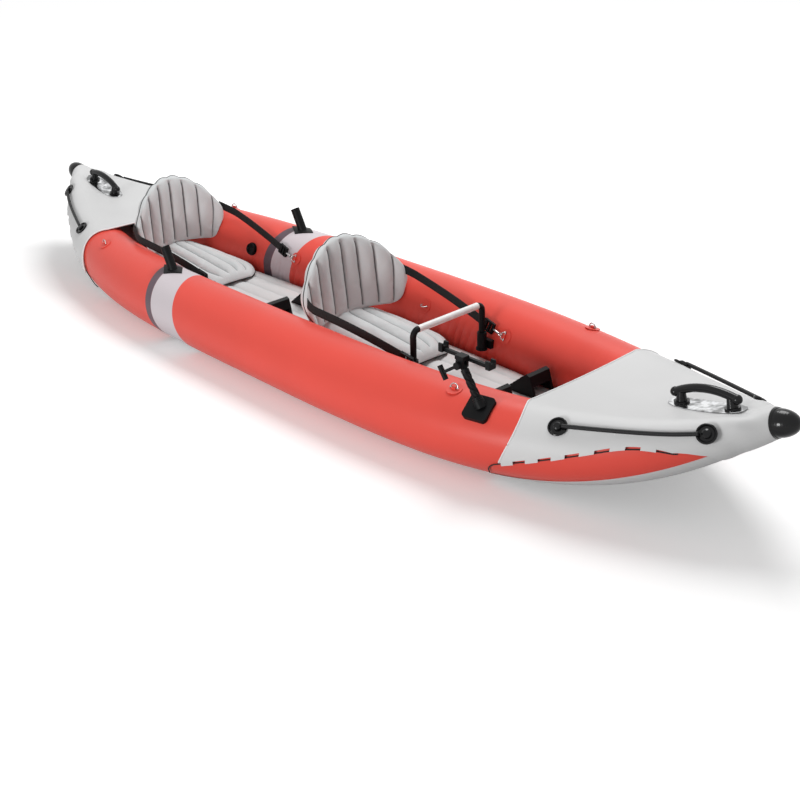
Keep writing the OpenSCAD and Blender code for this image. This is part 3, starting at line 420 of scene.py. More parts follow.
def coated_cloth(name, colour, roughness, threads=700.0, banded=False, shine=0.25):
    made, tree, shader = new_material(name)
    place = coordinates(tree)
    cloud = use_group(tree, mottle, place, Scale=3.0)
    shaded = tint(tree, cloud.outputs["Broad"], tone(colour, 0.93), tone(colour, 1.06))
    if banded:
        station = tree.nodes.new("ShaderNodeSeparateXYZ")
        link(tree, place, station.inputs[0])
        over = tree.nodes.new("ShaderNodeAttribute")
        over.attribute_name = "over"
        past = []
        for edge, slant in (STRIPE_AFT, STRIPE_FORE, BAND_FORE):
            lean = math_node(tree, "MULTIPLY", over.outputs["Fac"], slant)
            shifted = math_node(tree, "ADD", station.outputs[0], lean)
            past.append(span(tree, shifted, edge - BAND_BLUR, edge + BAND_BLUR))
        dark = math_node(tree, "SUBTRACT", past[0], past[1])
        pale = math_node(tree, "SUBTRACT", past[1], past[2])
        shaded = tint(tree, pale, shaded, PALE_BAND)
        shaded = tint(tree, dark, shaded, DARK_STRIPE)
    link(tree, shaded, shader.inputs["Base Color"])
    shader.inputs["Specular IOR Level"].default_value = shine
    vary_gloss(tree, shader, cloud, roughness - 0.05, roughness + 0.07)
    threads_node = use_group(tree, weave, coordinates(tree, "UV"), Threads_per_metre=threads)
    bump(tree, shader, threads_node.outputs["Height"], 0.00012, 0.5)
    bump(tree, shader, cloud.outputs["Fine"], 0.0006, 0.25)
    return made


red_coating = coated_cloth("red_coating", RED, 0.36, banded=True)
deck_coating = coated_cloth("deck_coating", DECK_GREY, 0.46)
floor_coating = coated_cloth("floor_coating", tone(DECK_GREY, 0.95), 0.5)
edging_coating = coated_cloth("edging_coating", (0.84, 0.84, 0.84), 0.4, threads=1200.0)
patch_coating = coated_cloth("patch_coating", RED, 0.38)
print("coated cloths: tubes, decks, floor, edging and patches")

# %% [markdown]
# ### Seat cloth, webbing and rope
# The seats are covered in a matt woven cloth, painted darker along each sewn line as painted shade in
# the grooves. Straps are ribbed black webbing, and the grab lines and lacing are braided: two sets of
# slanting ridges that cross. Single threads could be modelled, but they are finer than a pixel, so they
# are ridges in the bump that follow each piece's UV map.

# %% Seat cloth, webbing and rope
SEAT_GREY = (0.66, 0.68, 0.685)
SEAM_SHADE_TONE = (0.07, 0.07, 0.075)
BLACK = (0.006, 0.006, 0.0065)


def seat_cloth():
    made, tree, shader = new_material("seat_cloth")
    place = coordinates(tree)
    cloud = use_group(tree, mottle, place, Scale=9.0)
    threads = use_group(tree, weave, coordinates(tree, "UV"), Threads_per_metre=620.0)
    base = tint(tree, cloud.outputs["Broad"], tone(SEAT_GREY, 0.93), tone(SEAT_GREY, 1.05))
    woven = tint(tree, threads.outputs["Tone"], base, tone(SEAT_GREY, 0.88))
    # Painted shade: the cloth's colour is darkened along each sewn line, where shade falls in the groove.
    line = tree.nodes.new("ShaderNodeAttribute")
    line.attribute_name = "seam"
    paint(tree, shader, line.outputs["Fac"], woven, SEAM_SHADE_TONE)
    vary_gloss(tree, shader, cloud, 0.62, 0.78)
    shader.inputs["Sheen Weight"].default_value = 0.12
    bump(tree, shader, threads.outputs["Height"], 0.00025, 0.6)
    bump(tree, shader, cloud.outputs["Fine"], 0.0012, 0.3)
    return made


def ridged_black(name, along, across, roughness, braided=False):
    """Black cloth with ridges: straight ribs for webbing, crossing slants for a braid. Its colour is
    painted shade in the hollows and a painted highlight on the crests.
    """
    made, tree, shader = new_material(name)
    split = tree.nodes.new("ShaderNodeSeparateXYZ")
    link(tree, coordinates(tree, "UV"), split.inputs[0])
    u = math_node(tree, "MULTIPLY", split.outputs[0], along * math.tau)
    v = math_node(tree, "MULTIPLY", split.outputs[1], across * math.tau)
    if braided:
        first = math_node(tree, "SINE", math_node(tree, "ADD", u, v))
        second = math_node(tree, "SINE", math_node(tree, "SUBTRACT", u, v))
    else:
        first, second = math_node(tree, "SINE", u), math_node(tree, "SINE", v)
    height = math_node(tree, "MULTIPLY", first, second)
    # Painted shade and highlight: the colour is darker in the ridges' hollows and paler on their crests.
    mask = span(tree, height, -1.0, 1.0)
    paint(tree, shader, mask, tone(BLACK, 0.6), tone(BLACK, 1.7))
    cloud = use_group(tree, mottle, coordinates(tree), Scale=20.0)
    vary_gloss(tree, shader, cloud, roughness - 0.08, roughness + 0.08)
    shader.inputs["Specular IOR Level"].default_value = 0.25
    bump(tree, shader, height, 0.0006, 0.8)
    return made


seat_fabric = seat_cloth()
webbing_black = ridged_black("webbing_black", 420.0, 160.0, 0.62)
rope_black = ridged_black("rope_black", 90.0, 3.0, 0.5, braided=True)
# Black for piping and welts: partly their own colour, partly painted shade along cushion edges and joints.
piping_black_and_shade = ridged_black("piping_black_and_shade", 300.0, 4.0, 0.55, braided=True)
print("woven finishes:", seat_fabric.name, webbing_black.name, rope_black.name, piping_black_and_shade.name)

# %% [markdown]
# ### Plastic and metal
# Moulded fittings have a fine spark-eroded grain and slightly paler worn spots; noses and handles are
# polished, and rings are plated wire. The mirror film under each handle carries painted reflections:
# dark streaks in its colour. The solids already have these shapes, so they aren't modelled
# again: each one is only given its finish.

# %% Plastic and metal
def moulded(name, colour, roughness, grain=0.00015, coat=0.0, shine=0.5):
    made, tree, shader = new_material(name)
    cloud = use_group(tree, mottle, coordinates(tree), Scale=30.0)
    paint(tree, shader, cloud.outputs["Broad"], tone(colour, 0.85), tone(colour, 1.25))
    vary_gloss(tree, shader, cloud, roughness - 0.06, roughness + 0.1)
    shader.inputs["Specular IOR Level"].default_value = shine
    shader.inputs["Coat Weight"].default_value = coat
    shader.inputs["Coat Roughness"].default_value = 0.08
    bump(tree, shader, cloud.outputs["Fine"], grain, 0.5)
    return made


def metal(name, colour, roughness, grain_scale=60.0, low_tone_and_reflection=0.9):
    made, tree, shader = new_material(name)
    shader.inputs["Metallic"].default_value = 1.0
    cloud = use_group(tree, mottle, coordinates(tree), Scale=grain_scale)
    # Streaks in the metal's colour: a slight tone change on plated wire, and on the handle patch deep dark
    # streaks that are painted reflections.
    tone_and_reflection_streak = span(tree, cloud.outputs["Broad"], 0.40, 0.60)
    paint(tree, shader, tone_and_reflection_streak, tone(colour, low_tone_and_reflection), tone(colour, 1.05))
    vary_gloss(tree, shader, cloud, roughness - 0.04, roughness + 0.08)
    return made


black_plastic = moulded("black_plastic", (0.004, 0.004, 0.0045), 0.45, shine=0.12)
gloss_black = moulded("gloss_black", (0.005, 0.005, 0.0055), 0.18, grain=0.00004, coat=0.12, shine=0.18)
white_coat = moulded("white_coat", (0.84, 0.83, 0.82), 0.3, grain=0.00003)
# The handle patch's dark streaks are painted reflections of the dark handle and surroundings.
clear_patch = metal("clear_patch", (0.82, 0.83, 0.84), 0.12, grain_scale=26.0, low_tone_and_reflection=0.25)
plated = metal("plated", (0.46, 0.44, 0.44), 0.22)

# %% Finishes of the solids
CAD_FINISH = {
    gloss_black: ["bow_nose_cap", "stern_nose_cap", "bow_handle", "stern_handle", "rope_anchors"],
    plated: ["strap_rings", "strap_hooks", "port_valve_plunger", "starboard_valve_plunger",
             "port_valve_spring", "starboard_valve_spring",
             *[f"{spot}_{side}_ring" for spot in ("bow", "stern", "spare") for side, _ in SIDES]],
    patch_coating: ["ring_patches"],
    white_coat: ["crossbar_tube"],
    clear_patch: ["handle_patches"],
}
finished = {name for names in CAD_FINISH.values() for name in names}
CAD_FINISH[black_plastic] = [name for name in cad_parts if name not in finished]
for finish, names in CAD_FINISH.items():
    for name in names:
        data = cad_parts[name].data
        data.materials.clear()
        data.materials.append(finish)
print("finishes given to", len(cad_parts), "solids")

# %% [markdown]
# ## Side tubes
# Each tube is a long air chamber welded from coated cloth. It could be a bent cylinder, but it tapers and
# rises towards both ends, so it is one loft round its centre line. Air pulls the skin smooth, and only
# small things show: a very slight waviness, upright puckers low on the inner face where the floor is
# welded on, and a weld line ahead of each deck.

# %% Side tubes
TUBE_ROWS, TUBE_COLUMNS = 800, 104
PUCKER_PITCH, PUCKER_DEEP = 0.038, 0.012
PUCKER_AT, PUCKER_SPREAD = 186.0, 22.0
PUCKER_SPOTS = ((0.47, 0.14, 0.9), (-0.55, 0.16, 0.5))
WELD_AT, WELD_DEEP = 1.085, 0.0014
WAVE_HIGH, PUCKER_LEAST = 0.0007, 0.12


def tube_relief(x, angle, points):
    """Height of the skin's small folds, in metres."""
    line = np.stack([x, x * 0, x * 0], -1)
    low_inside = np.exp(-((angle - PUCKER_AT) / PUCKER_SPREAD) ** 2)
    lean = (angle - PUCKER_AT) / 900
    phase = math.tau * ((x + lean) / PUCKER_PITCH + 0.8 * ripple(line, 9.0, seed=3.0))
    fold = np.maximum(0, np.cos(phase)) ** 1.5
    gathered = [force * np.exp(-((x - spot) / spread) ** 2) for spot, spread, force in PUCKER_SPOTS]
    strong = PUCKER_LEAST + sum(gathered)
    strong = strong * (0.7 + 0.6 * ripple(line, 17.0, seed=9.0))
    weld = np.exp(-((np.abs(x) - WELD_AT) / 0.004) ** 2) * np.exp(-((angle - 175) / 40.0) ** 2)
    puckers = PUCKER_DEEP * fold * strong * low_inside
    return WAVE_HIGH * ripple(points, 5.0) - puckers - WELD_DEEP * weld


def side_tube(side):
    stations = TUBE_END * np.linspace(-1, 1, TUBE_ROWS)
    angles = -90 + 360 * (np.arange(TUBE_COLUMNS) + 0.5) / TUBE_COLUMNS
    x, a = np.meshgrid(stations, angles, indexing="ij")
    rows = skin(x, a, tube_relief(x, a, skin(x, a)))
    rows = rows if side == "port" else mirrored(rows)
    piece = loft(f"{side}_side_tube", rows, closed=True, capped=True)
    over = piece.data.attributes.new("over", "FLOAT", "POINT")
    over.data.foreach_set("value", (a / 180).astype(np.float32).ravel())
    outward(piece)
    dress(piece, red_coating, stands_for=[f"{side}_tube"])


for side, _ in SIDES:
    side_tube(side)

# %% [markdown]
# ## Floor
# The floor is one air chamber with lengthwise ribs: each rib is a round between two sewn lines. Six
# cylinders side by side would leave open gaps, so one grid runs over all the ribs and back underneath,
# where it follows the curve of the tubes that it rests between.

# %% Floor chamber
FLOOR_T, FLOOR_RIBS, FLOOR_GROOVE, FLOOR_HALF, FLOOR_LIFT = 0.086, 6, 0.009, 1.28, 0.005
FLOOR_ROWS, RIB_STEPS = 100, 14
FLAT_SHARE, EDGE_DROP, FLOOR_CLEAR = 0.74, 0.012, 0.002


def keel_z(x):
    return tube_z(x) - tube_r(x)


def groove(u, count, deep):
    """Depth below the crests of a row of rounds, sharp at the sewn lines."""
    return deep * (1 - np.sqrt(np.abs(np.sin(math.pi * count * u))))


def floor_grid():
    stations = np.linspace(-FLOOR_HALF, FLOOR_HALF, FLOOR_ROWS)
    x, u = np.meshgrid(stations, np.linspace(0, 1, FLOOR_RIBS * RIB_STEPS + 1), indexing="ij")
    v = 2 * u - 1
    base = keel_z(x) + FLOOR_LIFT
    half = inner_y(x, base + FLOOR_T - EDGE_DROP) - FLOOR_CLEAR - 0.001
    sewn = groove(u, FLOOR_RIBS, FLOOR_GROOVE)
    pinch = 0.0012 * np.sin(x * 90 + 4 * v) * (sewn / FLOOR_GROOVE) ** 2
    top = np.stack([x, half * v, base + FLOOR_T - 0.001 - sewn + pinch - EDGE_DROP * np.abs(v) ** 6], -1)
    r = tube_r(x) + FLOOR_CLEAR + 0.001
    heights = (base, base + FLOOR_T - 2 * EDGE_DROP)
    low, high = [np.degrees(np.arcsin(np.clip((z - tube_z(x)) / r, -1, 1))) for z in heights]
    k = np.maximum(0, np.abs(v) - FLAT_SHARE) / (1 - FLAT_SHARE)
    a = np.radians(180 - low - (high - low) * k)
    y = np.sign(v) * np.minimum(1, np.abs(v) / FLAT_SHARE) * (tube_y(x) + r * np.cos(a))
    under = np.stack([x, y, tube_z(x) + r * np.sin(a) + 0.0004], -1)
    return np.concatenate([top, under[:, ::-1]], 1)


floor_piece = loft("ribbed_floor", floor_grid(), closed=True, capped=True)
outward(floor_piece)
dress(floor_piece, floor_coating, stands_for=["floor_chamber"])

# %% [markdown]
# ## Bottom sheet
# A plain sheet, welded to both tubes, closes the bottom below the floor. A flat plane would miss the
# hull's rise, so it is a grid on the keel line that Solidify gives its thickness.

# %% Bottom sheet
BOTTOM_END, SHEET_T, SKIN_GAP = 1.08, 0.0025, 0.0016


x, v = np.meshgrid(np.linspace(-BOTTOM_END, BOTTOM_END, 80), np.linspace(-1, 1, 25), indexing="ij")
bottom_z = keel_z(x) + 0.001 + SHEET_T / 2
bottom_half = inner_y(x, bottom_z + SHEET_T / 2) - SKIN_GAP
bottom_rows = np.stack([x, bottom_half * v, bottom_z + 0.0004 * np.cos(7 * math.pi * v)], -1)
bottom = loft("bottom_sheet", bottom_rows)
modify(bottom, "SOLIDIFY", thickness=SHEET_T * 0.6, offset=0)
dress(bottom, floor_coating, stands_for=["hull_bottom"])

# %% [markdown]
# ## Decks
# A deck is one sheet over both tubes. Its hem stands off the red tube by the thickness of the lacing
# cord and is cut into tabs; ahead of the last tab it dives under the keel and closes round the nose.
# A cloth draped by simulation would slide about, so the deck is a grid on the hull lines. The tabs are
# part of it: the faces between them are left out before the sheet gets its thickness.

# %% Deck lines
DECK_EDGE, DECK_END = 1.190, LINE_HALF - 0.0004
WRAP_T = 0.0012
DECK_GAP = SKIN_GAP + WRAP_T + 0.002
LACING_D = 0.004
HEM_LIFT = LACING_D - 0.0004
TAB_START, TAB_END, TAB_COUNT, TAB_DEEP = DECK_EDGE + 0.006, DECK_EDGE + 0.464, 6, 0.013
TAB_PITCH = (TAB_END - TAB_START) / TAB_COUNT
HEM_LOW, HEM_SLOPE, HEM_LEVEL_FROM, HEM_LEVEL = 0.107, 0.37, 0.300, 1.5
LENS_END, LENS_CLOSE = DECK_EDGE + 0.54, 0.028
LENS_LOW, LENS_POWER, KEEL_ANGLE = -24.0, 1.6, -88.0


def hem_free(x):
    ahead = x - DECK_EDGE
    levelled = HEM_LEVEL * np.maximum(0, ahead - HEM_LEVEL_FROM) ** 2
    height = HEM_LOW + TAB_DEEP + HEM_SLOPE * ahead - levelled
    return np.degrees(np.arcsin(np.clip((height - tube_z(x)) / tube_r(x), -0.9, 0.9)))


def hem_fade(x):
    return np.clip((LENS_END - x) / (LENS_END - TAB_END), 0, 1)


def hem_at(x):
    """Angle of the deck's lower edge round the tube."""
    closing = np.maximum(KEEL_ANGLE, LENS_LOW + (KEEL_ANGLE - LENS_LOW) * (x - LENS_END) / LENS_CLOSE)
    dive = hem_free(TAB_END) + (LENS_LOW - hem_free(TAB_END)) * (1 - hem_fade(x)) ** LENS_POWER
    return np.where(x <= TAB_END, hem_free(x), np.where(x <= LENS_END, dive, closing))


print("hem angle at the cockpit", round(float(hem_at(np.array(DECK_EDGE))), 1), "degrees")

# %% Deck grid
DECK_DIP, DIP_FADE, CAP_TILT, CAP_REACH = 0.005, 0.12, math.radians(18), 0.07
DECK_MID = DECK_GAP + SHEET_T / 2
ARC_COLUMNS, TOP_COLUMNS, TAB_COLUMNS = 40, 16, 3
EDGE_CUT, EDGE_FADE = 0.034, 0.20
NOSE_AT, NOSE_SPREAD, NOSE_FOLDS = 1.775, 0.045, 11
NOSE_FOLD_HIGH, SLACK_HIGH = 0.0034, 0.0022


def dip_fade(x):
    return np.clip((DECK_END - x) / DIP_FADE, 0, 1)


def deck_stations():
    tabs = np.linspace(TAB_START, TAB_END, TAB_COUNT * 8 + 1)
    return np.concatenate([[DECK_EDGE, DECK_EDGE + 0.003], tabs, np.linspace(TAB_END, LENS_END, 11)[1:],
                           LENS_END + LENS_CLOSE * np.linspace(0, 1, 9)[1:],
                           np.linspace(LENS_END + LENS_CLOSE, DECK_END, 13)[1:]])


def deck_folds(points):
    """Slack and tension in the sheet: long soft folds, and short ones gathered at the nose."""
    x, y, z = points[..., 0], points[..., 1], points[..., 2]
    girth = np.degrees(np.arctan2(z - 0.2, np.abs(y) + 0.02))
    nose = np.exp(-((x - NOSE_AT) / NOSE_SPREAD) ** 2) * np.sin(np.radians(girth) * NOSE_FOLDS + 9 * x)
    nose = nose * np.clip((DECK_END - x) / 0.03, 0, 1)
    slack = ripple(points * [0.7, 1.6, 1.6], 7.0, seed=21.0) * np.clip((x - DECK_EDGE) / 0.08, 0, 1)
    return NOSE_FOLD_HIGH * nose + SLACK_HIGH * slack


def deck_grid():
    """Rows from hem to hem over both tubes, and a mask of the faces to keep."""
    xs = deck_stations()[:, None]
    f = np.linspace(0, 1, ARC_COLUMNS + 1)[None]
    hem = hem_at(xs)
    cut = xs + EDGE_CUT * np.sin(math.pi * f) * np.clip(1 - (xs - DECK_EDGE) / EDGE_FADE, 0, 1)
    lifted = DECK_MID + HEM_LIFT * hem_fade(xs) * np.maximum(0, 1 - 3 * f)
    arc = skin(cut, hem + (90 - hem) * f, lifted)
    g = 1 - np.linspace(0, 1, TOP_COLUMNS + 1)[None, 1:]
    top = tube_z(xs) + tube_r(xs) + DECK_MID - DECK_DIP * (1 - g * g) * dip_fade(xs)
    flat = np.stack(np.broadcast_arrays(xs, tube_y(xs) * g, top), -1)
    deep = np.degrees(TAB_DEEP / TUBE_R) * np.linspace(1, 0, TAB_COLUMNS + 1)[None, :-1]
    tabs = skin(xs, hem - deep, DECK_MID + HEM_LIFT)
    half = np.concatenate([tabs, arc, flat], 1)
    squared = np.clip(1 - (DECK_END - half[..., 0]) / CAP_REACH, 0, 1)
    half[..., 0] -= squared * math.tan(CAP_TILT) * (half[..., 2] - tube_z(xs))
    rows = np.concatenate([half, mirrored(half[:, -2::-1])], 1)
    lift = deck_folds(rows)
    rows[..., 2] += lift * (rows[..., 2] > tube_z(rows[..., 0]))
    rows[..., 1] += np.sign(rows[..., 1]) * lift * np.clip(np.abs(rows[..., 1]) / 0.05, 0, 1)
    middle = (xs[:-1, 0] + xs[1:, 0]) / 2
    on_tab = ((middle - TAB_START) / TAB_PITCH) % 1 < 0.5
    tabbed = (middle > TAB_START) & (middle < TAB_END) & on_tab
    keep = np.ones((rows.shape[0] - 1, rows.shape[1] - 1), bool)
    keep[:, :TAB_COLUMNS] = tabbed[:, None]
    keep[:, -TAB_COLUMNS:] = tabbed[:, None]
    return rows, keep


# %% Decks
EDGE_ROUND = 0.0007
deck_rows, deck_keep = deck_grid()
cloth_rows = deck_rows[:, TAB_COLUMNS:-TAB_COLUMNS]
for end, sign in ENDS:
    deck = loft(f"{end}_deck_sheet", at_end(deck_rows, sign), keep=deck_keep)
    outward(deck)
    modify(deck, "SOLIDIFY", thickness=SHEET_T, offset=0)
    modify(deck, "BEVEL", width=EDGE_ROUND, segments=1, limit_method="ANGLE", angle_limit=math.radians(50))
    dress(deck, deck_coating, stands_for=[f"{end}_deck", "deck_tabs"], angle=40)

# %% [markdown]
# ## Deck edging
# A welded bead finishes the cockpit edge of each deck. It could be a bevelled curve, but the deck's first
# row of points already is its path, so a round tube runs along that row.

# %% Deck edging
EDGING_R, EDGING_LIFT = 0.0032, 0.0006
for end, sign in ENDS:
    edge = tube_along(f"{end}_deck_edging", at_end(cloth_rows[0], sign) + [0, 0, EDGING_LIFT], EDGING_R)
    dress(edge, edging_coating)

# %% [markdown]
# ## Keel wraps
# Where the hull rises, the bottom sheet comes up round the tubes as a pale patch that the deck overlaps.
# It could be painted on the tube, but its edge is a real step in the cloth, so it is a thin sheet of its
# own on the tubes' skin.

# %% Keel wraps
WRAP_START, WRAP_STATIONS, WRAP_COLUMNS = BOTTOM_END + 0.02, 60, 24
WRAP_END = LENS_END + LENS_CLOSE + 0.012
WRAP_EDGE, WRAP_SLOPE = -26, 52
ease_in = np.sin(np.linspace(0, math.pi / 2, WRAP_STATIONS))
xs = (WRAP_START + (WRAP_END - WRAP_START) * ease_in)[:, None]
edge_angle = np.minimum(WRAP_EDGE, WRAP_EDGE - (LENS_END - xs) * WRAP_SLOPE)
wrap_angle = edge_angle + (-90 - edge_angle) * np.linspace(0, 1, WRAP_COLUMNS)[None]
wrap_half = skin(xs, wrap_angle, SKIN_GAP + WRAP_T / 2)
wrap_rows = np.concatenate([wrap_half, mirrored(wrap_half[:, ::-1])], 1)
for end, sign in ENDS:
    wrap = loft(f"{end}_keel_sheet", at_end(wrap_rows, sign))
    outward(wrap)
    modify(wrap, "SOLIDIFY", thickness=WRAP_T, offset=0)
    dress(wrap, deck_coating, stands_for=[f"{end}_keel_wrap"], angle=40)

# %% [markdown]
# ## Grab lines and lacing
# Each grab line is a braided rope from the boss of one anchor to the other. The lacing runs behind the
# tabs, and its tail hangs from the cockpit corner of the hem. A cord could be simulated, but these are
# held along their whole length, so each is a round tube along the route that the solids follow.

# %% Cord routes
LINE_D, LINE_STEPS, LINE_RISE = 0.013, 40, 6.0
ANCHOR_SEAT, FORE_SEAT = DECK_GAP + SHEET_T + 0.001, DECK_GAP + SHEET_T + 0.0022
LINE_LIFT = 0.003 + 0.0012 + LINE_D / 2
AFT_ANCHOR, FORE_ANCHOR = (1.338, 50.0), (1.721, 34.0)
LINE_INSET = 0.0146
TAIL = [(0.062, 22, 5), (0.060, 18, 5), (0.056, 12, 5), (0.048, 7.5, 4),
        (0.036, 5, 3), (0.022, 4.4, 3), (0.008, 4.2, 2.7)]
LACING_DROP, LACING_LIFT = 4.2, 0.0004 + 0.0003 + LACING_D / 2


def grab_route():
    reach = FORE_ANCHOR[0] - AFT_ANCHOR[0]
    f = (LINE_INSET + (reach - 2 * LINE_INSET) * np.linspace(0, 1, LINE_STEPS)) / reach
    angle = AFT_ANCHOR[1] + (FORE_ANCHOR[1] - AFT_ANCHOR[1]) * f + LINE_RISE * np.sin(math.pi * f)
    off = ANCHOR_SEAT + (FORE_SEAT - ANCHOR_SEAT) * f + LINE_LIFT
    return skin(AFT_ANCHOR[0] + reach * f, angle, off)


def lacing_route():
    tail = []
    for aft, drop, off in TAIL:
        tail.append(skin(np.array(TAB_START - aft), hem_free(TAB_START - aft) - drop, off / 1000))
    run = TAB_START + 0.004 + (TAB_END + 0.006 - TAB_START) * np.linspace(0, 1, 60)
    behind = skin(run, hem_at(run) - LACING_DROP, LACING_LIFT)
    return np.concatenate([np.array(tail), behind])


def smooth_route(route, count):
    """Even points on a smooth curve through a route."""
    route = np.asarray(route, float)
    for _ in range(3):
        q = route[:-1] * 0.75 + route[1:] * 0.25
        r = route[:-1] * 0.25 + route[1:] * 0.75
        route = np.concatenate([route[:1], np.stack([q, r], 1).reshape(-1, 3), route[-1:]])
    step = distance_along(route)
    even = np.linspace(0, step[-1], count)
    return np.stack([np.interp(even, step, route[:, i]) for i in range(3)], 1)


def route_length(route):
    return float(np.linalg.norm(np.diff(route, axis=0), axis=1).sum())


# %% Cords
def add_cord(name, node, route, diameter):
    piece = tube_along(name, route, diameter / 2, sides=12)
    dress(piece, rope_black, stands_for=[node])


for end, end_sign in ENDS:
    for side, side_sign in SIDES:
        corner = f"{end}_{side}"
        turn = np.array([end_sign, side_sign, 1])
        grab = smooth_route(grab_route(), 90) * turn
        add_cord(f"{corner}_grab_rope", f"{corner}_line", grab, LINE_D)
        lacing = smooth_route(lacing_route()[::-1], 150) * turn
        add_cord(f"{corner}_lacing_cord", f"{corner}_lacing", lacing, LACING_D)

# %% [markdown]
# ## Air cushions
# A seat base and a backrest are both air cushions: two layers of cloth sewn together along straight
# seams, so the air stands up in channels. Subdividing a box would give even, lifeless rounds. Each cushion
# starts as a slim grid instead, and a cloth simulation blows it up with the seams pinned, which rounds
# the channels and draws small folds in beside the seams. How far a point may travel is capped, so the
# cushion stays clear of its neighbours.

# %% Cushion helpers
PUFF_FRAMES, PUFF_PRESSURE, RIM_MERGE = 20, 4.0, 0.0002


def closed_cushion(name, upper, lower):
    """One mesh from two grids that share their rim; the rim is merged."""
    front = loft(name, upper)
    back = loft(name + "_back", lower)
    bpy.ops.object.select_all(action="DESELECT")
    for piece in (back, front):
        piece.select_set(True)
    bpy.context.view_layer.objects.active = front
    bpy.ops.object.join()
    edit_all(front, bpy.ops.mesh.remove_doubles, threshold=RIM_MERGE)
    outward(front)
    return front


def channel_columns(count, steps):
    """Even columns, so that one lies on every sewn line, and a few more to round each rim."""
    even = np.linspace(-1, 1, count * steps + 1)
    rim = 1 - (even[1] - even[0]) * np.array([0.5, 0.2, 0.06])
    return np.unique(np.concatenate([even, rim, -rim]))


def coords(piece):
    flat = np.empty(len(piece.data.vertices) * 3, np.float32)
    piece.data.vertices.foreach_get("co", flat)
    return flat.reshape(-1, 3).astype(float)


def puff(piece, pinned, cap, spare):
    """Blow a cushion up by cloth simulation. pinned gives each point's hold, from 0 to 1."""
    start = coords(piece)
    group = piece.vertex_groups.new(name="sewn")
    for level in np.unique(np.round(pinned, 1)):
        if level > 0:
            group.add(np.flatnonzero(np.round(pinned, 1) == level).tolist(), float(level), "REPLACE")
    only(piece)
    cloth = piece.modifiers.new("air", "CLOTH")
    settings = cloth.settings
    settings.quality = 6
    settings.mass = 0.3
    settings.tension_stiffness = settings.compression_stiffness = 15
    settings.bending_stiffness = 0.4
    settings.shrink_min = -spare
    settings.use_pressure = True
    settings.uniform_pressure_force = PUFF_PRESSURE
    settings.effector_weights.gravity = 0
    settings.vertex_group_mass = "sewn"
    cloth.collision_settings.use_collision = False
    cloth.point_cache.frame_start, cloth.point_cache.frame_end = 1, PUFF_FRAMES
    for step in range(1, PUFF_FRAMES + 1):
        bpy.context.scene.frame_set(step)
    bpy.ops.object.modifier_apply(modifier=cloth.name)
    bpy.context.scene.frame_set(1)
    piece.vertex_groups.clear()
    move = coords(piece) - start
    far = np.linalg.norm(move, axis=1)
    move *= np.minimum(1, cap / np.maximum(far, 1e-9))[:, None]
    piece.data.vertices.foreach_set("co", (start + move).astype(np.float32).ravel())
    piece.data.update()
    swell = float(np.linalg.norm(move, axis=1).mean())
    print(piece.name, "swelled by", round(swell * 1000, 2), "mm on average")


def eased(f):
    f = np.clip(f, 0, 1)
    return f * f * (3 - 2 * f)


def paint_seam_shade(piece, mask):
    """Store how near each point is to a sewn line, for the painted shade that darkens the cloth's colour
    there.
    """
    line = piece.data.attributes.new("seam", "FLOAT", "POINT")
    line.data.foreach_set("value", np.asarray(mask, np.float32))


def seam_hold(t, count, width):
    """1 on a sewn line, 0 between them."""
    near = np.abs(t * count - np.round(t * count)) / count
    return np.clip(1 - near / width, 0, 1)


# %% [markdown]
# ## Seat bases
# The seat base lies on the floor's ribs, is thickest at its seam and slopes down to a rounded front. A
# bevelled box could stand in for it, but its crown and its drawn-in corners show, so its top and bottom
# are two grids that share one rim. A thin piping runs round that rim, black partly as its own binding
# and partly as painted shade along the rim.

# %% Seat base grid
HINGE_Z = 0.212
SEATS = (("front", 0.137, 0.272, math.radians(7)), ("rear", -1.008, 0.246, math.radians(2)))
SEAT_LEN, SEAT_W, SEAT_CHANNELS, BASE_TAIL = 0.350, 0.392, 6, 0.094
BACK_AFT, BACK_LOW = 0.064, 0.032
FRONT_DROP, NOSE_DROP, WELT_DROP, TAIL_DROP = 0.070, 0.020, 0.030, 0.012
SEAT_SIDE_GAP, SEAT_CORNER, SEAT_CROWN, SEAT_GROOVE = 0.010, 0.14, 2.2, 0.013
SEAT_RIM = 0.022
SEAT_ROWS, SEAT_STEPS = 64, 14
SEAT_EDGE, SEAT_LIP, SEAT_PIPING_R = 0.1, 0.022, 0.0022


def floor_top(x):
    return keel_z(x) + FLOOR_LIFT + FLOOR_T


def seat_top(d):
    """Height of the pad along its middle line, at a distance ahead of the hinge."""
    run = np.clip((d + BACK_AFT) / (SEAT_LEN + BACK_AFT), 0, 1)
    slope = HINGE_Z - WELT_DROP - (FRONT_DROP - WELT_DROP) * run ** 1.3
    lip = NOSE_DROP * np.maximum(0, (d - SEAT_LEN + 0.06) / 0.06) ** 2
    return slope - lip - TAIL_DROP * eased((-BACK_AFT - d) / 0.02)


def seat_half(hinge_x, d):
    """Half width of the pad, drawn in round its front corners."""
    room = inner_y(hinge_x + d, tube_z(hinge_x + d)) - SEAT_SIDE_GAP
    corner = np.clip((d - SEAT_LEN + SEAT_CORNER) / SEAT_CORNER, 0, 1)
    return np.minimum(SEAT_W / 2, room) * (1 - 0.46 * corner ** 2.6)


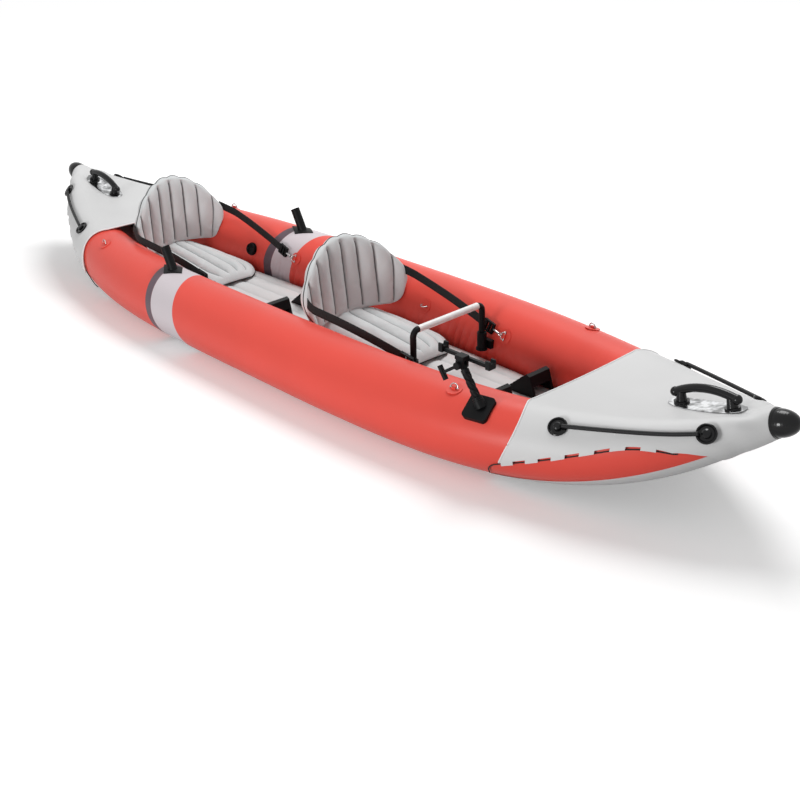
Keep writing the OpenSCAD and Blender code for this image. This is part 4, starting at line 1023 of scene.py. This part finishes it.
def seat_grid(hinge_x):
    """Upper and lower faces of a seat base; both end on the same rim."""
    d = -BASE_TAIL + (SEAT_LEN + BASE_TAIL) * (1 - np.cos(np.linspace(0, math.pi, SEAT_ROWS))) / 2
    d, u = np.meshgrid(d, channel_columns(SEAT_CHANNELS, SEAT_STEPS), indexing="ij")
    base = floor_top(hinge_x + d) + 0.0005
    sewn = groove((u + 1) / 2, SEAT_CHANNELS, SEAT_GROOVE) * eased((SEAT_LEN - d) / 0.06)
    sewn = sewn * eased((d + BACK_AFT) / 0.02)
    crown = seat_top(d) - base - SEAT_RIM
    top = base + np.maximum(0.012, SEAT_RIM + crown * (1 - np.abs(u) ** SEAT_CROWN) - sewn)
    side = np.sqrt(1 - np.clip((np.abs(u) - 1 + SEAT_EDGE) / SEAT_EDGE, 0, 1) ** 2)
    front = np.sqrt(1 - np.clip((d - SEAT_LEN + SEAT_LIP) / SEAT_LIP, 0, 1) ** 2)
    tail = np.sqrt(1 - np.clip((0.02 - BASE_TAIL - d) / 0.02, 0, 1) ** 2)
    full = side * front * tail
    middle = base + 0.45 * (top - base)
    place = [hinge_x + d, seat_half(hinge_x, d) * u]
    upper = np.stack(place + [middle + (top - middle) * full], -1)
    lower = np.stack(place + [middle - (middle - base) * full], -1)
    return upper, lower[:, ::-1], d, u


# %% Seat bases
for place, hinge_x, *_ in SEATS:
    upper, lower, d, u = seat_grid(hinge_x)
    cushion = closed_cushion(f"{place}_seat_cushion", upper, lower)
    at = coords(cushion)
    dist = at[:, 0] - hinge_x
    across = at[:, 1] / seat_half(hinge_x, dist)
    hold = np.where(dist < SEAT_LEN - 0.03, seam_hold((across + 1) / 2, SEAT_CHANNELS, 0.012), 0)
    resting = (at[:, 2] < floor_top(at[:, 0]) + 0.006) | (dist < -BACK_AFT + 0.012)
    hold[resting | (np.abs(across) > 0.985) | (dist > SEAT_LEN - 0.006)] = 1
    puff(cushion, hold, cap=0.004, spare=0.004)
    # Painted shade along the seat's sewn lines, weaker than on the backrests.
    sewn = seam_hold((across + 1) / 2, SEAT_CHANNELS, 0.006) * (np.abs(across) < 0.95)
    paint_seam_shade(cushion, 0.7 * sewn * (dist > -BACK_AFT) * (dist < SEAT_LEN - 0.03))
    modify(cushion, "SUBSURF", levels=1, render_levels=1)
    dress(cushion, seat_fabric, stands_for=[f"{place}_seat_base"])
    fore = upper[SEAT_ROWS // 3:]
    rim = np.concatenate([fore[:, 0], fore[-1, 1:-1], fore[:, -1][::-1]])
    piping = tube_along(f"{place}_seat_piping", smooth_route(rim, 220) - [0, 0, 0.004], SEAT_PIPING_R)
    dress(piping, piping_black_and_shade)

# %% [markdown]
# ## Backrests
# The backrest is a taller cushion that curves forward at its wings, with a scalloped top where the
# channels end. It is sewn to the seat base along its foot and folds forward there.

# %% Backrest grid
BACK_H, BACK_T, BACK_CHANNELS = 0.266, 0.064, 8
BACK_GAP, BACK_SPREAD, BACK_WING, BACK_DROOP = 0.004, 0.110, 0.085, 0.026
BACK_SHOULDER, SHOULDER_POWER, WING_POWER, WING_ROUND = 0.68, 2.0, 1.9, 0.62
BACK_TUCK, BACK_GROOVE, BACK_BEND = 0.008, 0.018, 0.15
BACK_ROWS, BACK_STEPS = 54, 14
SCALLOP, BACK_PIPING_R = 0.007, 0.0019


def back_point(form, s, v, forward):
    """Backrest point: share of height, share of half width, distance forward of its middle."""
    hinge_x, wide, recline = form
    low = -BACK_LOW - BACK_DROOP * v * v
    high = BACK_H * (1 - BACK_SHOULDER * np.abs(v) ** SHOULDER_POWER)
    valley = 1 - np.abs(np.sin(math.pi * BACK_CHANNELS * (v + 1) / 2))
    high = high - SCALLOP * valley * eased((s - 0.8) / 0.2)
    wing = np.sqrt(1 - 0.86 * (np.maximum(0, np.abs(v) - WING_ROUND) / (1 - WING_ROUND)) ** 2)
    rise = (low + high) / 2 + (s - 0.5) * (high - low) * wing
    foot = inner_y(hinge_x, HINGE_Z - BACK_LOW - BACK_DROOP) - BACK_GAP
    below = eased((BACK_SPREAD - rise) / (BACK_SPREAD + BACK_LOW + BACK_DROOP))
    pressed = np.clip((np.abs(v) - 0.6) / 0.4, 0, 1) ** 1.5 * below
    y = v * wide - np.sign(v) * (wide - foot) * pressed
    tuck = BACK_TUCK * (1 - s) ** 8 * (1 - v * v)
    ahead = forward - BACK_AFT - 0.016 + tuck + BACK_WING * np.abs(v) ** WING_POWER
    x = hinge_x + ahead * math.cos(recline) - rise * math.sin(recline)
    z = HINGE_Z + rise * math.cos(recline) + ahead * math.sin(recline)
    return np.stack(np.broadcast_arrays(x, y, z), -1)


def back_grid(form):
    s = (1 - np.cos(np.linspace(0, math.pi, BACK_ROWS))) / 2
    s, v = np.meshgrid(s, channel_columns(BACK_CHANNELS, BACK_STEPS), indexing="ij")
    full = np.sqrt(np.maximum(0, 1 - np.abs(2 * s - 1) ** 6)) * np.sqrt(np.maximum(0, 1 - np.abs(v) ** 6))
    fade = eased((1 - np.abs(2 * s - 1)) / 0.16) * eased((1 - np.abs(v)) / 0.1)
    sewn = groove((v + 1) / 2, BACK_CHANNELS, BACK_GROOVE) * fade
    half = np.maximum(0, (BACK_T - 0.003) / 2 * full - sewn)
    return back_point(form, s, v, half), back_point(form, s, v, -half)[:, ::-1], s, v


# %% Backrests
for place, *form in SEATS:
    face, rear, s, v = back_grid(form)
    shares = np.stack([s, v], -1)
    share_of = np.concatenate([shares.reshape(-1, 2), shares[:, ::-1].reshape(-1, 2)])
    points = np.concatenate([face.reshape(-1, 3), rear.reshape(-1, 3)])
    cushion = closed_cushion(f"{place}_back_cushion", face, rear)
    at = coords(cushion)
    nearest = {tuple(np.round(p, 4)): i for i, p in enumerate(points)}
    pick = np.array([nearest.get(tuple(np.round(p, 4)), -1) for p in at])
    s_at, v_at = share_of[pick, 0], share_of[pick, 1]
    hold = np.where((s_at > 0.1) & (s_at < 0.9), seam_hold((v_at + 1) / 2, BACK_CHANNELS, 0.01), 0)
    hold[(s_at < 0.1) | (np.abs(v_at) > 0.985) | (s_at > 0.985) | (pick < 0)] = 1
    puff(cushion, hold, cap=0.004, spare=0.006)
    # Painted shade along the backrest's sewn lines.
    sewn = seam_hold((v_at + 1) / 2, BACK_CHANNELS, 0.006) * (np.abs(v_at) < 0.95)
    paint_seam_shade(cushion, sewn * (s_at > 0.05) * (s_at < 0.92))
    modify(cushion, "SUBSURF", levels=1, render_levels=1)
    dress(cushion, seat_fabric, body=None, stands_for=[f"{place}_backrest"])
    # The back piping is a black line round the rim: partly a stitched hem, partly painted shade along the
    # edge.
    rim = np.concatenate([face[6:, 0], face[-1, 1:-1], face[6:, -1][::-1]])
    piping = tube_along(f"{place}_back_piping", smooth_route(rim, 260), BACK_PIPING_R)
    dress(piping, piping_black_and_shade, body=None)
    for soft in (cushion, piping):
        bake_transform(soft)

# %% [markdown]
# ## Seat seams
# A corded seam, the welt, joins each backrest to its seat base. It could be a crease in the cushions, but
# it is a cord under tape, so it is a round tube that lies in the joint and stays with the hull. Its black
# stands partly for the corded seam and partly for painted shade in the joint.

# %% Seat seams
WELT_R, WELT_INSET, WELT_STEPS = 0.0039, 0.078, 24
for place, hinge_x, *_ in SEATS:
    reach = SEAT_W / 2 - WELT_INSET
    height = seat_top(np.array(-BACK_AFT)) + 0.001
    across = np.linspace(-reach, reach, WELT_STEPS)
    level = np.ones(WELT_STEPS)
    route = np.stack([level * (hinge_x - BACK_AFT), across, level * height], 1)
    # The welt's black tube is partly the corded seam and partly painted shade in the joint.
    welt = tube_along(f"{place}_seat_welt", route, WELT_R)
    dress(welt, piping_black_and_shade, stands_for=["seat_welts"])

# %% [markdown]
# ## Seat straps
# Each strap is flat webbing from the ladder buckle near the floor to the back of the wing. A plain box
# can't turn from one to the other, so a flat profile is lofted along the strap's route. It crosses the
# backrest's hinge.

# %% Seat straps
STRAP_W, STRAP_T = 0.030, 0.0025
STRAP_STEPS, STRAP_SLACK, STRAP_SEWN = 90, 66, 88
STRAP_STANDS = np.array([0, 0.25, 1.0])
STRAP_ROUTES = {
    "front": [(0.5853, 0.2024, 0.214), (0.5145, 0.2107, 0.2304), (0.4133, 0.2225, 0.2502),
              (0.312, 0.2343, 0.2662), (0.2209, 0.2449, 0.2779), (0.1602, 0.252, 0.2849),
              (0.0843, 0.2205, 0.3106)],
    "rear": [(-0.5852, 0.2088, 0.2156), (-0.6421, 0.2153, 0.2302), (-0.7338, 0.2245, 0.25),
             (-0.8254, 0.2363, 0.2661), (-0.9078, 0.2457, 0.2778), (-0.9628, 0.252, 0.2849),
             (-1.0387, 0.2205, 0.3106)],
}


def webbing_grid(route):
    """Flat band along a route, with rounded edges."""
    ahead = np.gradient(route, axis=0)
    ahead /= np.linalg.norm(ahead, axis=1)[:, None]
    wide = STRAP_STANDS - (ahead @ STRAP_STANDS)[:, None] * ahead
    wide /= np.linalg.norm(wide, axis=1)[:, None]
    out = np.cross(ahead, wide)
    edge, flat = STRAP_W / 2, STRAP_T / 2
    under = [(-edge, -flat * 0.4), (-edge + 0.0008, -flat), (-edge / 2, -flat), (0, -flat),
             (edge / 2, -flat), (edge - 0.0008, -flat), (edge, -flat * 0.4)]
    profile = under + [(a, -b) for a, b in reversed(under)]
    return np.stack([route + wide * a + out * b for a, b in profile], 1)


for place, *_ in SEATS:
    for side, sign in SIDES:
        route = smooth_route(np.array(STRAP_ROUTES[place]) * [1, sign, 1], STRAP_STEPS)
        strap = loft(f"{place}_{side}_webbing", webbing_grid(route), closed=True, capped=True)
        outward(strap)
        dress(strap, webbing_black, None, [f"{place}_{side}_strap"], angle=50)
        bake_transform(strap)
        print(strap.name, "length", round(route_length(route), 3))

# %% [markdown]
# ## Valve springs
# Under each valve cap a small coil spring holds the plunger out. It could stay a plain sleeve, since the
# cap hides it, but a coil that the Screw modifier sweeps shows how the valve works.

# %% Valve springs
SPRING_TURNS, SPRING_R, SPRING_WIRE = 5, 0.0051, 0.0007


def coil_spring(name, height):
    """Ring of wire swept up the Z axis by a Screw modifier, with its ends closed."""
    bpy.ops.object.select_all(action="DESELECT")
    bpy.ops.mesh.primitive_circle_add(vertices=8, radius=SPRING_WIRE, rotation=(math.pi / 2, 0, 0))
    coil = bpy.context.object
    coil.name = name
    bpy.ops.object.transform_apply(location=True, rotation=True, scale=True)
    edit_all(coil, bpy.ops.transform.translate, value=(SPRING_R, 0, 0))
    pitch = height / SPRING_TURNS
    modify(coil, "SCREW", screw_offset=pitch, iterations=SPRING_TURNS, steps=24, render_steps=24)
    edit_all(coil, bpy.ops.mesh.fill_holes, sides=8)
    return coil


for side, _ in SIDES:
    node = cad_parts[f"{side}_valve_spring"]
    at = np.array([node.matrix_world @ corner.co for corner in node.data.vertices])
    middle = (at.min(0) + at.max(0)) / 2
    axis = np.linalg.svd(at - middle, full_matrices=False)[2][0]
    axis *= -np.sign(axis[1] * middle[1])
    half = np.abs((at - middle) @ axis).max() - SPRING_WIRE
    coil = coil_spring(f"{side}_spring_coil", 2 * half)
    turn = Vector((0, 0, 1)).rotation_difference(Vector(axis)).to_matrix().to_4x4()
    coil.data.transform(Matrix.Translation(middle - axis * half) @ turn)
    outward(coil)
    dress(coil, plated, body=None, stands_for=[f"{side}_valve_spring"])
    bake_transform(coil)
    print(coil.name, "height", round(2000 * half, 1), "mm")

# %% [markdown]
# ## Stage and light
# A plain white floor, an even white surround, a large soft lamp overhead and one from the camera's left.
# More light on the kayak would whiten the floor too, but it would bleach the colours. So the floor adds
# light of its own for the camera only, more of it far off: it reads white and still keeps the shadow.

# %% Stage and light
SURROUND = 0.36
FLOOR_NEAR, FLOOR_FAR = 0.24, 0.64
NEAR_REACH, FAR_REACH = 1.6, 4.5
FLOOR_SEEN, FLOOR_BOUNCE = 0.95, 0.45
FLOOR_SIZE, FLOOR_SINK = 60, 0.0005
bpy.ops.object.select_all(action="DESELECT")
bpy.ops.mesh.primitive_plane_add(size=FLOOR_SIZE, location=(0, 0, -FLOOR_SINK))
floor = bpy.context.object
floor.name = "studio_floor"
floor_paint = bpy.data.materials.new("studio_floor")
floor_paint.use_nodes = True
tree = floor_paint.node_tree
tree.nodes.remove(tree.nodes["Principled BSDF"])
diffuse = tree.nodes.new("ShaderNodeBsdfDiffuse")
lift = add(tree, "ShaderNodeEmission", Color=(1, 1, 1, 1))
path = tree.nodes.new("ShaderNodeLightPath")
seen = math_node(tree, "MAXIMUM", path.outputs["Is Camera Ray"], path.outputs["Is Glossy Ray"])
link(tree, ranged(tree, seen, FLOOR_BOUNCE, FLOOR_SEEN), diffuse.inputs["Color"])
reach = tree.nodes.new("ShaderNodeVectorMath")
reach.operation = "LENGTH"
link(tree, coordinates(tree), reach.inputs[0])
away = span(tree, reach.outputs["Value"], NEAR_REACH, FAR_REACH)
glow = ranged(tree, away, FLOOR_NEAR, FLOOR_FAR)
link(tree, math_node(tree, "MULTIPLY", seen, glow), lift.inputs["Strength"])
both = tree.nodes.new("ShaderNodeAddShader")
link(tree, diffuse.outputs[0], both.inputs[0])
link(tree, lift.outputs[0], both.inputs[1])
link(tree, both.outputs[0], tree.nodes["Material Output"].inputs["Surface"])
floor.data.materials.append(floor_paint)

# %% Surround and lamps
world = bpy.data.worlds.new("studio")
bpy.context.scene.world = world
world.use_nodes = True
tree = world.node_tree
surround = tree.nodes["Background"]
surround.inputs["Color"].default_value = (1, 1, 1, 1)
path = tree.nodes.new("ShaderNodeLightPath")
seen = math_node(tree, "MAXIMUM", path.outputs["Is Camera Ray"], path.outputs["Is Glossy Ray"])
seen = math_node(tree, "MAXIMUM", seen, path.outputs["Is Transmission Ray"])
link(tree, ranged(tree, seen, SURROUND, 1.0), surround.inputs["Strength"])


def soft_lamp(name, spot, aim, size, power):
    data = bpy.data.lights.new(name, "AREA")
    data.shape = "DISK"
    data.size = size
    data.energy = power
    lamp = bpy.data.objects.new(name, data)
    bpy.context.scene.collection.objects.link(lamp)
    lamp.location = spot
    lamp.rotation_euler = (Vector(aim) - Vector(spot)).to_track_quat("-Z", "Y").to_euler()


soft_lamp("top_lamp", (-0.4, 1.9, 4.2), (0, 0, 0), 2.6, 150)
soft_lamp("front_lamp", (0.9, -5.3, 0.75), (0, 0, 0.3), 1.4, 135)
bpy.context.scene.view_settings.view_transform = "Standard"
